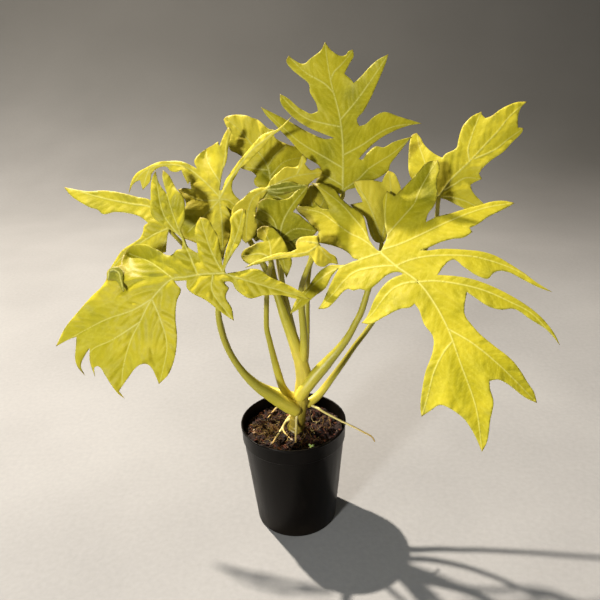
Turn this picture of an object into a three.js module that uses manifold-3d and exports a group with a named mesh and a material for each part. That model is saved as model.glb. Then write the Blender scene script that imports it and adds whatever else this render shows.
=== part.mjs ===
// Potted golden-leaved philodendron: a black nursery pot full of potting mix, a short stem with
// aerial roots, and twelve deeply lobed leaves, each a blade on its own stalk.
// Millimetres, +Z up, origin at the middle of the pot's underside, -Y towards the viewer.

import * as THREE from 'three';
import loadManifold from 'manifold-3d';

const manifoldKit = await loadManifold();
manifoldKit.setup();
const { Manifold, Mesh } = manifoldKit;

// Pot
const potHeight = 130;
const potRimRadius = 60;
const potBaseRadius = 47;
const potWall = 1.7;
const potBandHeight = 19;
const potFloor = 2.4;
const potSegments = 56;
const drainHoleCount = 6;
const drainHoleRadius = 4;
const drainRingRadius = 32;

// Potting mix
const soilLevel = 117;
const soilGap = 0.3;
const soilRings = 9;
const soilSectors = 40;

// Plant
const bladeThickness = 1.0;
const jointGap = 0.32; // clearance left between parts that grow from one another
const stalkSides = 9;
const stemSides = 14;
const rootSides = 6;
const stalkGrip = 6; // how far a stalk reaches along its blade's midrib, in sight units

// The plant is laid out as it looks from one point in front of it: places are given in sight
// units across and down a 600 by 600 view, with a depth y in millimetres.
const sight = {
  eye: new THREE.Vector3(12.3, -620.8, 544.7),
  focal: 640,
  middle: 300,
  pitch: THREE.MathUtils.degToRad(23.2),
  roll: THREE.MathUtils.degToRad(2),
};

// Stem from below the mix to the growing tip: across, down, depth, radius
const stemPath = [
  [296, 447, 2, 9.6], [296, 430, 1, 9.6], [298, 418, 0, 8.8], [300, 405, 0, 8.2],
  [302, 390, 0, 8.2], [303.5, 375, 0, 8.5], [301, 362, 0, 7.8], [296.5, 350, 1, 6.6],
];

// Aerial roots, from inside the stem: across, down, height z, radius
const rootPaths = [
  [[294, 414, 133, 1.9], [289, 417, 129.5, 1.6], [282, 428.6, 121.5, 1.4], [276.4, 437, 118.5, 1.2],
    [271.4, 445.2, 117.2, 0.9]],
  [[297, 414, 141, 1.8], [296.4, 421, 134.5, 1.5], [296, 431.4, 126, 1.3], [295.4, 444.5, 117.5, 1.0]],
  [[303, 404, 148, 1.9], [309, 404.5, 147, 1.6], [318, 408.6, 145, 1.4], [330.7, 415.7, 142, 1.3],
    [342, 421.4, 139.5, 1.2], [353.6, 427, 137, 1.1], [365, 432.9, 132, 1.0], [372, 437, 126, 0.9],
    [374.7, 441.4, 121, 0.7]],
  [[296, 408, 143, 1.5], [287, 405.5, 137, 1.3], [280, 405, 130, 1.2], [276, 408, 124, 1.1],
    [272, 413, 119.5, 1.0], [268, 418, 117, 0.8]],
  [[292, 418, 131, 1.5], [285.5, 422, 127, 1.2], [283, 428.5, 122, 1.1], [286, 434.5, 118.8, 1.0],
    [290, 438.5, 117, 0.8]],
];

// Leaves. base: across, down, depth of the point where the stalk meets the blade. facing: the
// blade's upper side. margin: its outline, across and down. ribs: the midrib first, then a rib
// to each lobe; sink is how far the rib's far end bends away from the flat, in millimetres.
// stalk: across, down, depth, radius from the stem to the blade.
const leaves = {
  front_right: {
    base: [380, 252, -10],
    facing: [-0.18, -0.52, 0.83],
    margin: [
      [379, 251], [372, 244], [369, 238], [367, 229], [362, 214], [350, 206], [342, 199], [335, 190],
      [325, 184], [311, 183], [319, 190], [324, 198], [329, 209], [321, 208], [314, 201], [305, 204],
      [295, 207.5], [299, 213], [306, 219], [312, 226], [318, 231], [319, 236], [320, 243], [328, 244.5],
      [337, 247], [344, 250], [350, 254.5], [353, 258], [359, 260], [353, 261.5], [343, 265], [330, 265],
      [324, 268], [318, 273], [312, 281], [308, 288], [301, 293], [295, 302], [290, 314], [302, 307],
      [315, 296], [325.5, 288], [332, 275.5], [339, 268], [335, 275.5], [331, 283], [327.5, 291],
      [322, 303], [318, 309], [327, 308], [336, 300], [343, 292], [348, 289], [353, 290.5], [360, 289],
      [368, 291], [373, 287], [378, 283], [383, 278], [390, 273.6], [398, 272], [404, 274], [393, 278],
      [386, 283], [380, 290], [374, 300], [370, 310], [366, 318], [361.6, 323], [370, 324], [384, 317],
      [400, 309], [411, 307], [414.5, 303.6], [419, 310], [424, 324], [433, 337], [433, 350], [430, 360],
      [426, 370], [423, 384], [420.4, 408], [421.5, 416.6], [430, 411], [440, 405], [446, 406.6],
      [454, 411], [464, 419], [470, 427], [476, 438], [482, 452], [487, 442], [490.4, 420], [493.6, 402],
      [490, 388], [489.6, 381], [498, 379.6], [506, 383], [526, 398], [537, 403], [534, 392], [528, 383],
      [520, 370], [512, 360], [492, 344], [480, 334], [472, 325], [465, 315], [464.4, 308], [467, 292],
      [474, 297], [490, 307], [500, 309.6], [514, 309], [530, 319], [548, 331], [560, 345], [554, 333],
      [540, 316], [520, 301], [496, 288], [472, 279], [450, 275.6], [437.5, 275], [444, 266], [449, 261],
      [454, 259.6], [464, 267], [480, 277], [488, 278.6], [493, 273.6], [498, 271], [508, 272],
      [522, 279], [540, 288], [552, 292], [536, 282], [524, 273], [510, 264], [496, 256], [484, 252],
      [468, 250], [440, 249], [428, 250.6], [420, 250.5], [430, 247], [440, 242.4], [452, 239],
      [464, 237.4], [472.4, 232], [469.6, 228], [478, 224], [488, 217], [498, 212], [508, 207],
      [514.6, 203], [504, 200.8], [492, 201.6], [480, 205], [468, 208], [452, 213], [436, 217],
      [426, 222], [428, 214], [434, 206], [437, 197], [437, 180], [439.6, 168], [438, 160], [426, 163],
      [420, 170], [408, 183], [395, 196], [387, 191], [383, 198], [383.6, 210], [385, 226], [387, 236],
      [381, 251],
    ],
    ribs: [
      { sink: -26, at: [[380, 252], [396, 266], [418, 282], [434, 303], [448, 329], [460, 362], [476, 408],
        [482, 451]] },
      { sink: -24, at: [[396, 266], [410, 260], [430, 256], [468, 256], [484, 259], [515, 270], [552, 292]] },
      { sink: -26, at: [[418, 282], [436, 281], [468, 286], [488, 292], [510, 302], [532, 314], [560, 345]] },
      { sink: -26, at: [[448, 329], [472, 343], [500, 366], [536, 402]] },
      { sink: -18, at: [[418, 282], [406, 283], [394, 288], [384, 298], [372, 314], [362, 323]] },
      { sink: -16, at: [[396, 266], [385, 266], [370, 268], [355, 272], [345, 280], [333, 294], [319, 309]] },
      { sink: -16, at: [[381, 253], [365, 258], [335, 270], [318, 281], [303, 297], [290, 314]] },
      { sink: -22, at: [[452, 342], [444, 352], [434, 372], [428, 395], [422, 416]] },
      { sink: 10, at: [[381, 251], [387, 236], [402, 218], [414, 204], [420, 190], [430, 172], [438, 160]] },
      { sink: 10, at: [[387, 236], [385, 215], [387, 191]] },
      { sink: -14, at: [[381, 250], [400, 244], [418, 236], [452, 220], [485, 208], [514, 203]] },
      { sink: 28, at: [[379, 251], [369, 240], [364, 231], [352, 216], [341, 204], [318, 186]] },
      { sink: 16, at: [[379, 251], [360, 238], [351, 234], [334, 222], [321, 213], [296, 208]] },
    ],
    stalk: [
      [298, 400, -5, 5.8], [304, 390, -6.5, 6.9], [311, 381, -6, 7.1], [318.5, 372, -5, 6.9],
      [328, 361.4, -5, 6.1], [339.3, 348.6, -6, 4.7],
      [347.9, 337, -8, 3.9], [355, 324, -9, 3.6], [360.7, 312.9, -9, 3.4], [367.9, 290.7, -8, 3.1],
      [375, 270, -6, 2.8], [379.5, 254.5, -8, 2.4],
    ],
  },

  top: {
    base: [342.75, 193, 62],
    facing: [0.05, -0.97, 0.22],
    margin: [
      [325, 42], [331, 50], [336, 53.75], [341, 56], [345.6, 55], [348.75, 51], [353, 49.6], [353.75, 56],
      [350, 63], [344.4, 73.75], [351, 79.4], [353.75, 83], [358.75, 78.75], [371, 65.6], [377.5, 60],
      [388.5, 54], [385.6, 63.75], [378.75, 80], [371, 97.5], [363, 112], [357, 119.4], [359.4, 126],
      [365, 124.4], [375, 116], [385, 112], [397.5, 116], [422, 123.5], [408.75, 125.6], [391, 132.5],
      [380, 138.75], [368.75, 148], [359, 158.75], [362.5, 160], [367.5, 153], [376.9, 146.2],
      [382.5, 147.5], [393.75, 141.9], [412.5, 136.5], [408, 141.25], [397.5, 155], [390, 165],
      [388.75, 170], [380, 177], [372, 181], [362, 186], [353, 188.5], [347, 190], [343.75, 193.5],
      [341, 194], [335, 193], [324, 189], [315, 185], [317, 179], [322, 172], [318.75, 165.6], [310, 160],
      [302, 154], [293, 143.75], [280, 130], [275, 124.4], [266, 115], [260.6, 106.9], [270, 111.5],
      [280, 116.5], [295, 124.7], [311, 133.5], [326, 139], [334, 138], [325, 134.5], [311, 128.75],
      [300, 122.5], [288.75, 113], [280.6, 102.5], [280, 94], [287.5, 98], [298.75, 107.5],
      [305, 111.25], [311, 113.75], [318, 111.25], [316.25, 103.75], [310, 92.5], [308.75, 84],
      [300, 76.25], [291.25, 68.75], [286.25, 60.6], [288.75, 55.6], [295, 60.6], [303.75, 63.75],
      [311, 58], [320.6, 50.6],
    ],
    ribs: [
      { sink: -10, at: [[342.75, 192.5], [343, 167.5], [342.5, 140], [339.4, 115], [331, 82.5],
        [327.5, 62.5], [325, 43]] },
      { sink: -10, at: [[331, 79], [334, 72], [340, 66], [347, 58], [352.5, 50.5]] },
      { sink: 10, at: [[341, 119], [353, 105], [360, 96], [378, 70], [388, 55]] },
      { sink: -14, at: [[343.5, 155], [362, 145], [382, 131.5], [396, 126], [421, 123.4]] },
      { sink: -8, at: [[343, 190], [358.75, 178.75], [368.75, 168.75], [393.75, 152.5], [411, 137.5]] },
      { sink: -12, at: [[333, 92], [325, 84], [305, 72], [290, 58]] },
      { sink: -12, at: [[341.5, 127], [320, 122.5], [308, 119], [297, 112], [280.5, 95]] },
      { sink: 8, at: [[343, 168], [326, 158], [301, 143], [288, 132], [262, 108]] },
      { sink: -8, at: [[343, 186], [335, 181], [326, 176], [319, 173]] },
    ],
    stalk: [
      [303, 372, 3, 4.2], [305, 358, 9, 4.1], [306, 340, 15, 3.9], [306.5, 315, 22, 3.6],
      [307, 292, 29, 3.4], [309, 268, 37, 3.1], [316, 245, 47, 3.0], [327, 222, 60, 2.8],
      [338, 204, 66, 2.5], [342.7, 195.5, 64, 2.3],
    ],
  },

  back_right: {
    base: [438.6, 196.5, 75],
    facing: [-0.25, -0.85, 0.45],
    margin: [
      [416.8, 133], [421.4, 139], [423.6, 143.6], [427.3, 148], [436.4, 155], [442.3, 157.7],
      [445.5, 154], [454.5, 149.5], [456.8, 147.3], [458, 141.8], [460, 133.6], [462.7, 126.4],
      [467.3, 120.5], [471.8, 116.4], [481.4, 111.6], [482.3, 115], [485.5, 118.2], [491, 116],
      [501.8, 108.6], [516.4, 102.3], [527.3, 101.6], [521, 107.7], [518, 117.3], [518, 127.3],
      [523.6, 128.2], [522.3, 131.8], [511, 143.6], [504.5, 151], [491, 160.5], [482.7, 168.2],
      [479, 173.6], [482, 179], [474.5, 182.3], [470.5, 185], [472.3, 191], [480, 200], [484, 204],
      [487, 213], [476, 213], [458, 205.5], [445.5, 199.5], [438.6, 197.5], [436.5, 197], [428, 193],
      [418, 186], [410, 176], [408.4, 158], [410, 141], [412, 135],
    ],
    ribs: [
      { sink: -10, at: [[438.6, 196.5], [451, 179.5], [469.5, 161.4], [487, 142.7], [498, 131],
        [509, 117], [526, 102]] },
      { sink: -14, at: [[438.6, 195.5], [430, 178], [424, 160], [419, 145], [417, 134]] },
      { sink: -8, at: [[469.5, 161], [468, 150], [471, 138], [476, 124], [481, 112.5]] },
      { sink: -12, at: [[475, 158.6], [496, 149], [507, 140], [523, 128.6]] },
      { sink: -8, at: [[445, 190], [455, 184], [465, 178], [481.5, 179]] },
      { sink: -10, at: [[440, 196.5], [452, 197.5], [465, 201], [486, 212]] },
    ],
    stalk: [
      [304, 406, 2, 5.2], [317.9, 395.7, 10, 4.6], [333.6, 375.7, 20, 3.6], [345, 360, 28, 3.2],
      [355, 345.7, 34, 3.1], [365, 332.9, 40, 3.0], [372, 322.9, 44, 2.9], [388, 298, 54, 2.8],
      [408, 270, 64, 2.7], [426, 248, 71, 2.6], [436, 222, 77, 2.4], [438.6, 199, 76, 2.2],
    ],
  },

  front_left: {
    base: [224, 273, -40],
    facing: [-0.15, -0.85, 0.5],
    margin: [
      [225, 270], [230, 258.6], [234.3, 251.4], [240, 243], [244.3, 225.7], [246, 215], [245.7, 210],
      [241.4, 208.6], [234.3, 213], [230, 218.6], [231, 226], [230, 237], [226, 250], [222.5, 266],
      [221, 253], [217, 234], [213, 228], [210.2, 221.7], [205, 218], [200, 217.5], [196.7, 223],
      [195, 231.7], [196.7, 243], [198, 253], [195, 251.7], [188, 246.7], [185, 239], [181, 230],
      [184, 222], [185, 205.7], [184, 198.6], [181.4, 194.3], [177, 190], [169.3, 175.7], [162.9, 170],
      [162.4, 177], [167, 194.3], [159, 182.9], [155.4, 170.7], [151.7, 180], [150.7, 198.6],
      [151.4, 214], [157, 221], [169, 229], [181, 238], [182.5, 243], [181.7, 249], [176.7, 250],
      [171.7, 255], [166.7, 255], [160, 251], [153, 248], [146.7, 244.7], [140, 244], [130.8, 246.7],
      [122.5, 257], [120.8, 265], [113, 267], [107.5, 271], [106.5, 279], [101.7, 286.7], [93, 295],
      [78, 311.7], [65, 328], [56, 346.3], [70, 339], [76.5, 336.8], [76, 345], [75.3, 360], [78, 367.5],
      [85.3, 376], [81, 366], [85.8, 354], [89.7, 348.3], [90, 361.7], [95, 376.7], [94, 368],
      [97.5, 366], [100.8, 368], [105, 375], [117.5, 393], [124.7, 398.7], [119, 391], [128, 378],
      [138, 366], [145, 363.7], [150, 366], [156, 376.7], [159, 384], [168, 375], [175, 356.7],
      [177, 333], [175.8, 323], [176.7, 301.7], [180.8, 289], [178, 286], [174.5, 281], [186.5, 280.5],
      [187, 288], [206.7, 300.8], [225, 315], [234, 320.8], [231.7, 308], [225.8, 296.7], [229, 288],
      [223, 281.5], [232, 282.5], [235, 288], [240, 293], [250, 298.4], [263, 295.6], [283, 295.5],
      [299, 299.5], [310, 299], [299, 290.7], [279, 280.7], [269, 276.4], [262, 270.7], [252, 268.6],
      [241, 271], [226, 273.4],
    ],
    ribs: [
      { sink: -46, at: [[224, 273], [200, 274.5], [186, 277], [173, 278.5], [152, 299], [140, 322],
        [131, 340], [123, 370], [122, 396]] },
      { sink: -34, at: [[173, 278.5], [150, 262], [130, 254]] },
      { sink: -44, at: [[152, 299], [133, 310], [105, 320], [57, 346]] },
      { sink: -44, at: [[140, 322], [112, 340], [92, 350], [81, 370]] },
      { sink: -36, at: [[152, 299], [160, 318], [167, 345], [160, 383]] },
      { sink: 0, at: [[197, 273], [190, 256], [183, 240], [170, 205], [162, 172]] },
      { sink: 0, at: [[183, 240], [164, 215], [155.5, 173]] },
      { sink: 3, at: [[222, 271], [210, 248], [201, 219]] },
      { sink: 3, at: [[224, 270], [232, 248], [239, 228], [243, 210]] },
      { sink: -6, at: [[213, 275], [212, 290], [233, 320]] },
      { sink: -6, at: [[226, 274], [245, 280], [275, 289], [309, 299]] },
    ],
    stalk: [
      [299, 412, -6, 7.0], [292, 408, -8.5, 7.7], [281, 401.5, -11, 7.4], [268, 393, -15, 6.6],
      [255, 384, -20, 5.4], [242, 371, -24, 4.0], [226.4, 345.7, -31, 3.2], [219, 320, -34, 3.0],
      [218.5, 303, -33, 2.8], [221, 287, -33, 2.5], [223.8, 275.5, -37, 2.2],
    ],
  },

  far_left: {
    base: [169, 228, 62],
    facing: [-0.1, -0.8, 0.6],
    margin: [
      [171, 226], [168, 218], [158, 206], [148, 199], [138, 197], [126.7, 194], [113, 191.3],
      [101.7, 190.5], [90, 191.3], [80, 190.3], [64, 187], [68, 192.5], [73, 197.5], [81.7, 203],
      [90, 207.5], [98, 210], [102.5, 214], [115, 212], [126.7, 213], [140, 216.7], [148, 223],
      [144, 226], [143, 231.7], [140, 238], [135, 241.7], [121.7, 250.8], [116.7, 258], [108, 272],
      [122, 268], [145, 259], [166, 252], [166.7, 243], [167.5, 235], [169, 230],
    ],
    ribs: [
      { sink: -14, at: [[169, 228], [162, 216], [150, 207], [133, 204], [106.7, 199], [64.5, 187.3]] },
      { sink: -16, at: [[169, 228], [155, 234], [142, 242], [128, 252], [109, 271]] },
      { sink: -8, at: [[169, 229], [166, 240], [160, 254]] },
    ],
    stalk: [
      [300, 396, 5, 4.3], [291, 395, 16, 4.2], [278, 391.5, 26, 4.0], [262, 386, 34, 3.7],
      [243, 372, 42, 3.3], [228, 346.5, 49, 3.0], [220.5, 322, 54, 2.8], [217, 303, 57, 2.7],
      [209, 283, 60, 2.6], [197, 265, 63, 2.5], [184, 246, 66, 2.3], [170.5, 231, 65, 2.0],
    ],
  },

  upper_left: {
    base: [219.5, 199, 35],
    facing: [-0.15, -0.87, 0.46],
    margin: [
      [222, 190], [225.7, 180], [231.4, 171.4], [238.6, 161.4], [245.7, 153], [253, 144.3],
      [263, 134.3], [277, 129.3], [293, 115], [281.4, 129.3], [274.3, 134.3], [263, 147],
      [254.3, 155.7], [245.7, 164.3], [240, 168.6], [237, 174.3], [232.9, 181.4], [232, 188.6],
      [234.3, 194.3], [241, 201], [237, 208], [233, 211.4], [226, 206], [230, 213], [231.4, 222],
      [230, 237], [225.7, 248.6], [222.9, 262], [220, 251.4], [216, 243], [208, 246], [202, 245],
      [197, 243.5], [190, 240.5], [184.5, 238.5], [181, 232], [178, 224], [177, 216], [179, 211],
      [183, 209], [185.7, 207], [185, 200], [181.4, 195], [177.9, 189.3], [184.3, 187.9], [191.4, 189],
      [190, 181.4], [187.9, 184.3], [182.9, 174.3], [181.4, 170], [177, 171.9], [170, 170.7],
      [167, 166.9], [158.6, 167.9], [151.4, 174.3], [150.7, 180], [142.9, 190], [140, 180],
      [134.3, 182.9], [128.6, 193.6], [132, 180], [137, 172.9], [144.3, 168.6], [158.6, 162],
      [168.6, 161], [181.4, 161.4], [193, 166.4], [197, 168.6], [194.3, 161.4], [196.4, 157],
      [204.3, 150], [212.9, 145], [218, 141.5], [219.5, 146], [223, 137], [226, 131], [228.5, 127],
      [231, 129], [230, 138], [228, 150], [226.4, 161.4], [223, 170], [221, 180], [219.5, 190],
    ],
    ribs: [
      { sink: 14, at: [[219.5, 198.5], [228, 183], [238, 168], [252, 150], [268, 137], [291, 116.5]] },
      { sink: -4, at: [[219.5, 197], [220.5, 181], [224, 162], [227, 144], [229.5, 130]] },
      { sink: -14, at: [[220, 182], [208, 162], [206, 150]] },
      { sink: -22, at: [[219, 196], [203, 180], [185, 167], [160, 165], [141, 174], [130, 192]] },
      { sink: -18, at: [[150, 168], [146, 178], [143, 189]] },
      { sink: -8, at: [[219.5, 200], [200, 200], [182, 191]] },
      { sink: -2, at: [[219.5, 200], [222, 222], [223, 260]] },
      { sink: -6, at: [[219.5, 200], [205, 215], [188, 232]] },
      { sink: -4, at: [[220, 199], [228, 200], [236, 206]] },
    ],
    stalk: [
      [297.5, 353, 0.5, 6.3], [294.5, 343, 0.8, 6.2], [290.4, 331.4, 1, 5.9], [285, 317, 3, 5.3],
      [278, 297, 7, 4.3], [270, 278, 12, 3.6], [258, 255, 20, 3.1], [243, 230, 30, 2.8],
      [228, 208, 37, 2.5], [220.3, 200.5, 38, 2.2],
    ],
  },

  back_centre: {
    base: [271, 186, 68],
    facing: [0.05, -0.93, 0.36],
    margin: [
      [263, 187.9], [256, 186], [254, 180], [256.5, 176], [253, 172.5], [247, 170], [241, 168],
      [240, 163], [243, 158], [241, 156], [236, 153], [230, 150], [229, 140], [228, 130], [225.5, 124.5],
      [223.5, 119.5], [226, 116.8], [232, 115], [240, 114.8], [247, 115.6], [252, 117.8], [257, 119.3],
      [262, 123], [266, 127], [269, 129], [275, 130], [274, 136], [279, 140.5], [285.7, 143.5],
      [291, 145.5], [297, 147], [303, 152], [307, 158], [303, 166], [296, 173], [287, 180], [278, 185],
      [271, 187.5],
    ],
    ribs: [
      { sink: -12, at: [[271, 186], [270, 176], [267, 165], [262, 157], [254, 147], [243, 134],
        [226, 118]] },
      { sink: 4, at: [[268, 166], [276, 154], [287, 145]] },
      { sink: -10, at: [[269, 170], [257, 169], [243, 167]] },
      { sink: -10, at: [[270.5, 176], [284, 162], [304, 157]] },
    ],
    stalk: [
      [301, 376, 3, 3.8], [300, 366, 12, 3.7], [297, 348, 22, 3.6], [292, 325, 31, 3.4],
      [286, 300, 41, 3.3], [280, 270, 53, 3.1], [275, 235, 64, 2.8], [272, 205, 70, 2.5],
      [271, 188.5, 70, 2.2],
    ],
  },

  centre_upper: {
    base: [268, 189, 36],
    facing: [0.0, -0.9, 0.44],
    margin: [
      [266.7, 187], [270, 181], [274.4, 175.6], [280, 171], [284.4, 167.2], [296.9, 166.5], [300, 160],
      [302.5, 153.75], [307, 160], [305, 164], [311.25, 170], [319.4, 168], [322.5, 171], [321, 176],
      [315, 179], [309, 184.4], [304, 190], [296, 194], [287.5, 193], [278, 194.5], [271, 193.5],
      [268.5, 190.5], [262, 199], [257, 207], [256, 214], [258, 228], [254, 237], [246, 243.5],
      [240, 237], [235, 229], [232, 219], [232, 210], [236, 204], [243.5, 198], [251, 191], [260, 187.6],
    ],
    ribs: [
      { sink: -12, at: [[268, 189], [280, 182], [296, 176], [321, 172.5]] },
      { sink: 0, at: [[296, 176], [301, 166], [303, 155]] },
      { sink: 8, at: [[268, 189], [254, 197], [248, 212], [246, 242]] },
    ],
    stalk: [
      [296.5, 350, 3, 3.6], [293, 338, 9, 3.4], [287, 320, 12.5, 3.3], [280.5, 300, 17, 3.2],
      [275, 280, 24, 3.0], [270, 255, 32, 2.9], [268, 225, 38, 2.6], [267, 203, 41, 2.3],
      [267.9, 191, 38, 2.0],
    ],
  },

  centre_dark: {
    base: [279, 240, 8],
    facing: [0.05, -0.92, 0.38],
    margin: [
      [278, 239], [276, 230], [266.7, 221.7], [257.8, 219.4], [254.4, 217.8], [256.7, 210],
      [257.8, 203.3], [263, 199], [270, 198.3], [280, 200], [290, 197], [296, 191], [309, 184.4],
      [307, 192], [300, 203], [293, 212], [299, 214.4], [304.4, 219], [312, 225.6], [317.8, 230.6],
      [313.3, 235.6], [299, 237.8], [291, 241], [284, 242],
    ],
    ribs: [
      { sink: -6, at: [[279, 240], [283, 222], [291, 207], [307, 187]] },
      { sink: 4, at: [[279, 236], [272, 218], [259, 209]] },
      { sink: -4, at: [[280, 239], [295, 229], [315, 231]] },
    ],
    stalk: [
      [299.5, 366, 3, 3.6], [298.5, 354, 11, 3.5], [294.5, 337, 18.5, 3.3], [289, 318, 22, 3.1],
      [284.5, 300, 24, 2.9], [282.5, 283, 20, 2.7], [281, 262, 14, 2.4], [279.2, 242.5, 10, 2.0],
    ],
  },

  centre_low: {
    base: [271, 259, -15],
    facing: [-0.05, -0.75, 0.66],
    margin: [
      [270, 257.5], [264, 262], [254, 265], [245, 262], [241, 256], [244, 250], [251, 246],
      [257, 243], [264, 241.5],
      [258, 238], [257, 229.5], [263, 226], [271, 227], [277, 231.5], [284, 241], [288, 250],
      [292, 262], [289, 272], [286.5, 278], [282, 268], [278, 260],
    ],
    ribs: [
      { sink: -6, at: [[271, 259], [262, 254], [243, 256]] },
      { sink: -5, at: [[271, 259], [270, 245], [264, 230]] },
      { sink: -8, at: [[272, 259], [281, 257], [286.5, 276]] },
    ],
    stalk: [
      [297, 401, 2, 4.6], [290, 396, 5, 4.6], [283, 387.5, 7, 4.4], [277.9, 372.9, 8, 4.1],
      [273.6, 357, 9, 3.6], [269.3, 340, 8, 3.1], [266.7, 328.6, 7, 2.9], [266.4, 310, 4, 2.8],
      [267, 290, 0, 2.6], [269, 272, -6, 2.3], [270.7, 261, -11, 2.0],
    ],
  },

  centre_front: {
    base: [318.5, 243.5, -24],
    facing: [0.05, -0.72, 0.69],
    margin: [
      [318.5, 242], [317.8, 236], [313.3, 235.8], [305.6, 236.5], [299, 238.2], [295.6, 244.4],
      [296.7, 249], [290, 252], [278, 253], [264, 258], [254, 262], [244.5, 268], [262, 262.4],
      [280, 258.6], [300, 257], [310, 256], [316.7, 265], [324.4, 266.7], [330, 263.3],
      [338.3, 264.4], [335.6, 256.7], [330, 253.4], [324.4, 248.5], [320, 246],
    ],
    ribs: [
      { sink: -3, at: [[318.5, 243.5], [310, 242], [299, 241]] },
      { sink: -6, at: [[318, 245], [308, 252], [280, 256], [246, 267]] },
      { sink: -6, at: [[319, 245], [326, 255], [337, 263]] },
    ],
    stalk: [
      [301.5, 368, -1, 4.4], [303.5, 354, -3, 4.3], [304, 340, -4, 4.1], [303, 325, -4, 3.8],
      [301.5, 308, -5, 3.5], [301.5, 288, -8, 3.1], [306.7, 271, -12, 2.8], [313.5, 256, -16, 2.5],
      [318.3, 245.5, -20, 2.0],
    ],
  },

  inner_right: {
    base: [382, 243, 30],
    facing: [-0.1, -0.9, 0.4],
    margin: [
      [381, 243], [376, 242], [371, 236], [368, 226], [365, 217], [357, 212], [350, 204.5], [357, 203],
      [362.5, 202], [361, 198], [356.5, 190], [353, 181], [362, 180], [372, 180], [382, 182],
      [385, 175], [388, 170.5], [394, 173], [398, 180], [401, 190], [398, 201], [392, 216],
      [388, 229], [384, 242],
    ],
    ribs: [
      { sink: 4, at: [[382, 243], [377, 226], [368, 203], [355, 182]] },
      { sink: 2, at: [[376, 240], [368, 222], [353, 205]] },
      { sink: -4, at: [[382, 240], [386, 218], [391, 195], [389, 172]] },
    ],
    stalk: [
      [303, 385, 5, 3.8], [316.5, 372, 13, 3.7], [328, 360.5, 18, 3.5], [339.3, 348, 20, 3.3],
      [348, 336, 21, 3.2], [355, 323, 21, 3.1], [361, 311, 20, 3.0], [368, 290, 19, 2.8],
      [375, 270, 25, 2.5], [381.5, 245.5, 32, 2.1],
    ],
  },
};

const colours = {
  blade: 0xd9cc2e,
  stalk: 0x9a9420,
  stem: 0xcdb83c,
  pot: 0x15130f,
  soil: 0x3a2114,
};

// The line of sight through a place in the view, one millimetre of depth long
function sightLine(across, down) {
  const dx = (across - sight.middle) / sight.focal;
  const dy = (down - sight.middle) / sight.focal;
  const right = dx * Math.cos(sight.roll) - dy * Math.sin(sight.roll);
  const up = -dx * Math.sin(sight.roll) - dy * Math.cos(sight.roll);
  const sinPitch = Math.sin(sight.pitch);
  const cosPitch = Math.cos(sight.pitch);
  return new THREE.Vector3(right, cosPitch + up * sinPitch, -sinPitch + up * cosPitch);
}

// The point on the line of sight at depth y
function atDepth(across, down, y) {
  const line = sightLine(across, down);
  return line.multiplyScalar((y - sight.eye.y) / line.y).add(sight.eye);
}

// The point on the line of sight at height z
function atHeight(across, down, z) {
  const line = sightLine(across, down);
  return line.multiplyScalar((z - sight.eye.z) / line.z).add(sight.eye);
}

// A closed solid from points (Vector3) and triangles (index triples, counter-clockwise outside)
function solidFrom(points, triangles) {
  const vertProperties = new Float32Array(points.length * 3);
  points.forEach((point, i) => point.toArray(vertProperties, i * 3));
  const mesh = new Mesh({ numProp: 3, vertProperties, triVerts: Uint32Array.from(triangles.flat()) });
  mesh.merge();
  return new Manifold(mesh);
}

function solidFromGeometry(geometry) {
  const place = geometry.getAttribute('position');
  const points = [];
  for (let i = 0; i < place.count; i += 1) {
    points.push(new THREE.Vector3().fromBufferAttribute(place, i));
  }
  const triangles = [];
  for (let i = 0; i < geometry.index.count; i += 3) {
    triangles.push([0, 1, 2].map((k) => geometry.index.getX(i + k)));
  }
  return solidFrom(points, triangles);
}

// The largest connected body of a solid
function mainBody(solid) {
  return solid.decompose().reduce((a, b) => (b.volume() > a.volume() ? b : a));
}

function meshFrom(name, solid, material) {
  const { numProp, vertProperties, triVerts } = solid.getMesh();
  const place = new Float32Array((vertProperties.length / numProp) * 3);
  for (let i = 0; i < place.length / 3; i += 1) {
    for (let k = 0; k < 3; k += 1) place[i * 3 + k] = vertProperties[i * numProp + k];
  }
  const geometry = new THREE.BufferGeometry();
  geometry.setAttribute('position', new THREE.BufferAttribute(place, 3));
  geometry.setIndex(new THREE.BufferAttribute(Uint32Array.from(triVerts), 1));
  geometry.computeVertexNormals();
  const mesh = new THREE.Mesh(geometry, material);
  mesh.name = name;
  return mesh;
}

// A profile of [radius, z] points turned about the Z axis, given from the axis out and back to it
function turned(profile, segments) {
  const points = [];
  const rings = profile.map(([radius, z]) => {
    if (radius === 0) {
      points.push(new THREE.Vector3(0, 0, z));
      return [points.length - 1];
    }
    const ring = [];
    for (let i = 0; i < segments; i += 1) {
      const angle = (i / segments) * Math.PI * 2;
      points.push(new THREE.Vector3(radius * Math.cos(angle), radius * Math.sin(angle), z));
      ring.push(points.length - 1);
    }
    return ring;
  });
  const triangles = [];
  for (let j = 0; j + 1 < rings.length; j += 1) {
    const [low, high] = [rings[j], rings[j + 1]];
    for (let i = 0; i < segments; i += 1) {
      const [a, b] = [low[i % low.length], low[(i + 1) % low.length]];
      const [c, d] = [high[i % high.length], high[(i + 1) % high.length]];
      if (a !== b) triangles.push([a, b, d]);
      if (c !== d) triangles.push([a, d, c]);
    }
  }
  return solidFrom(points, triangles);
}

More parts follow.
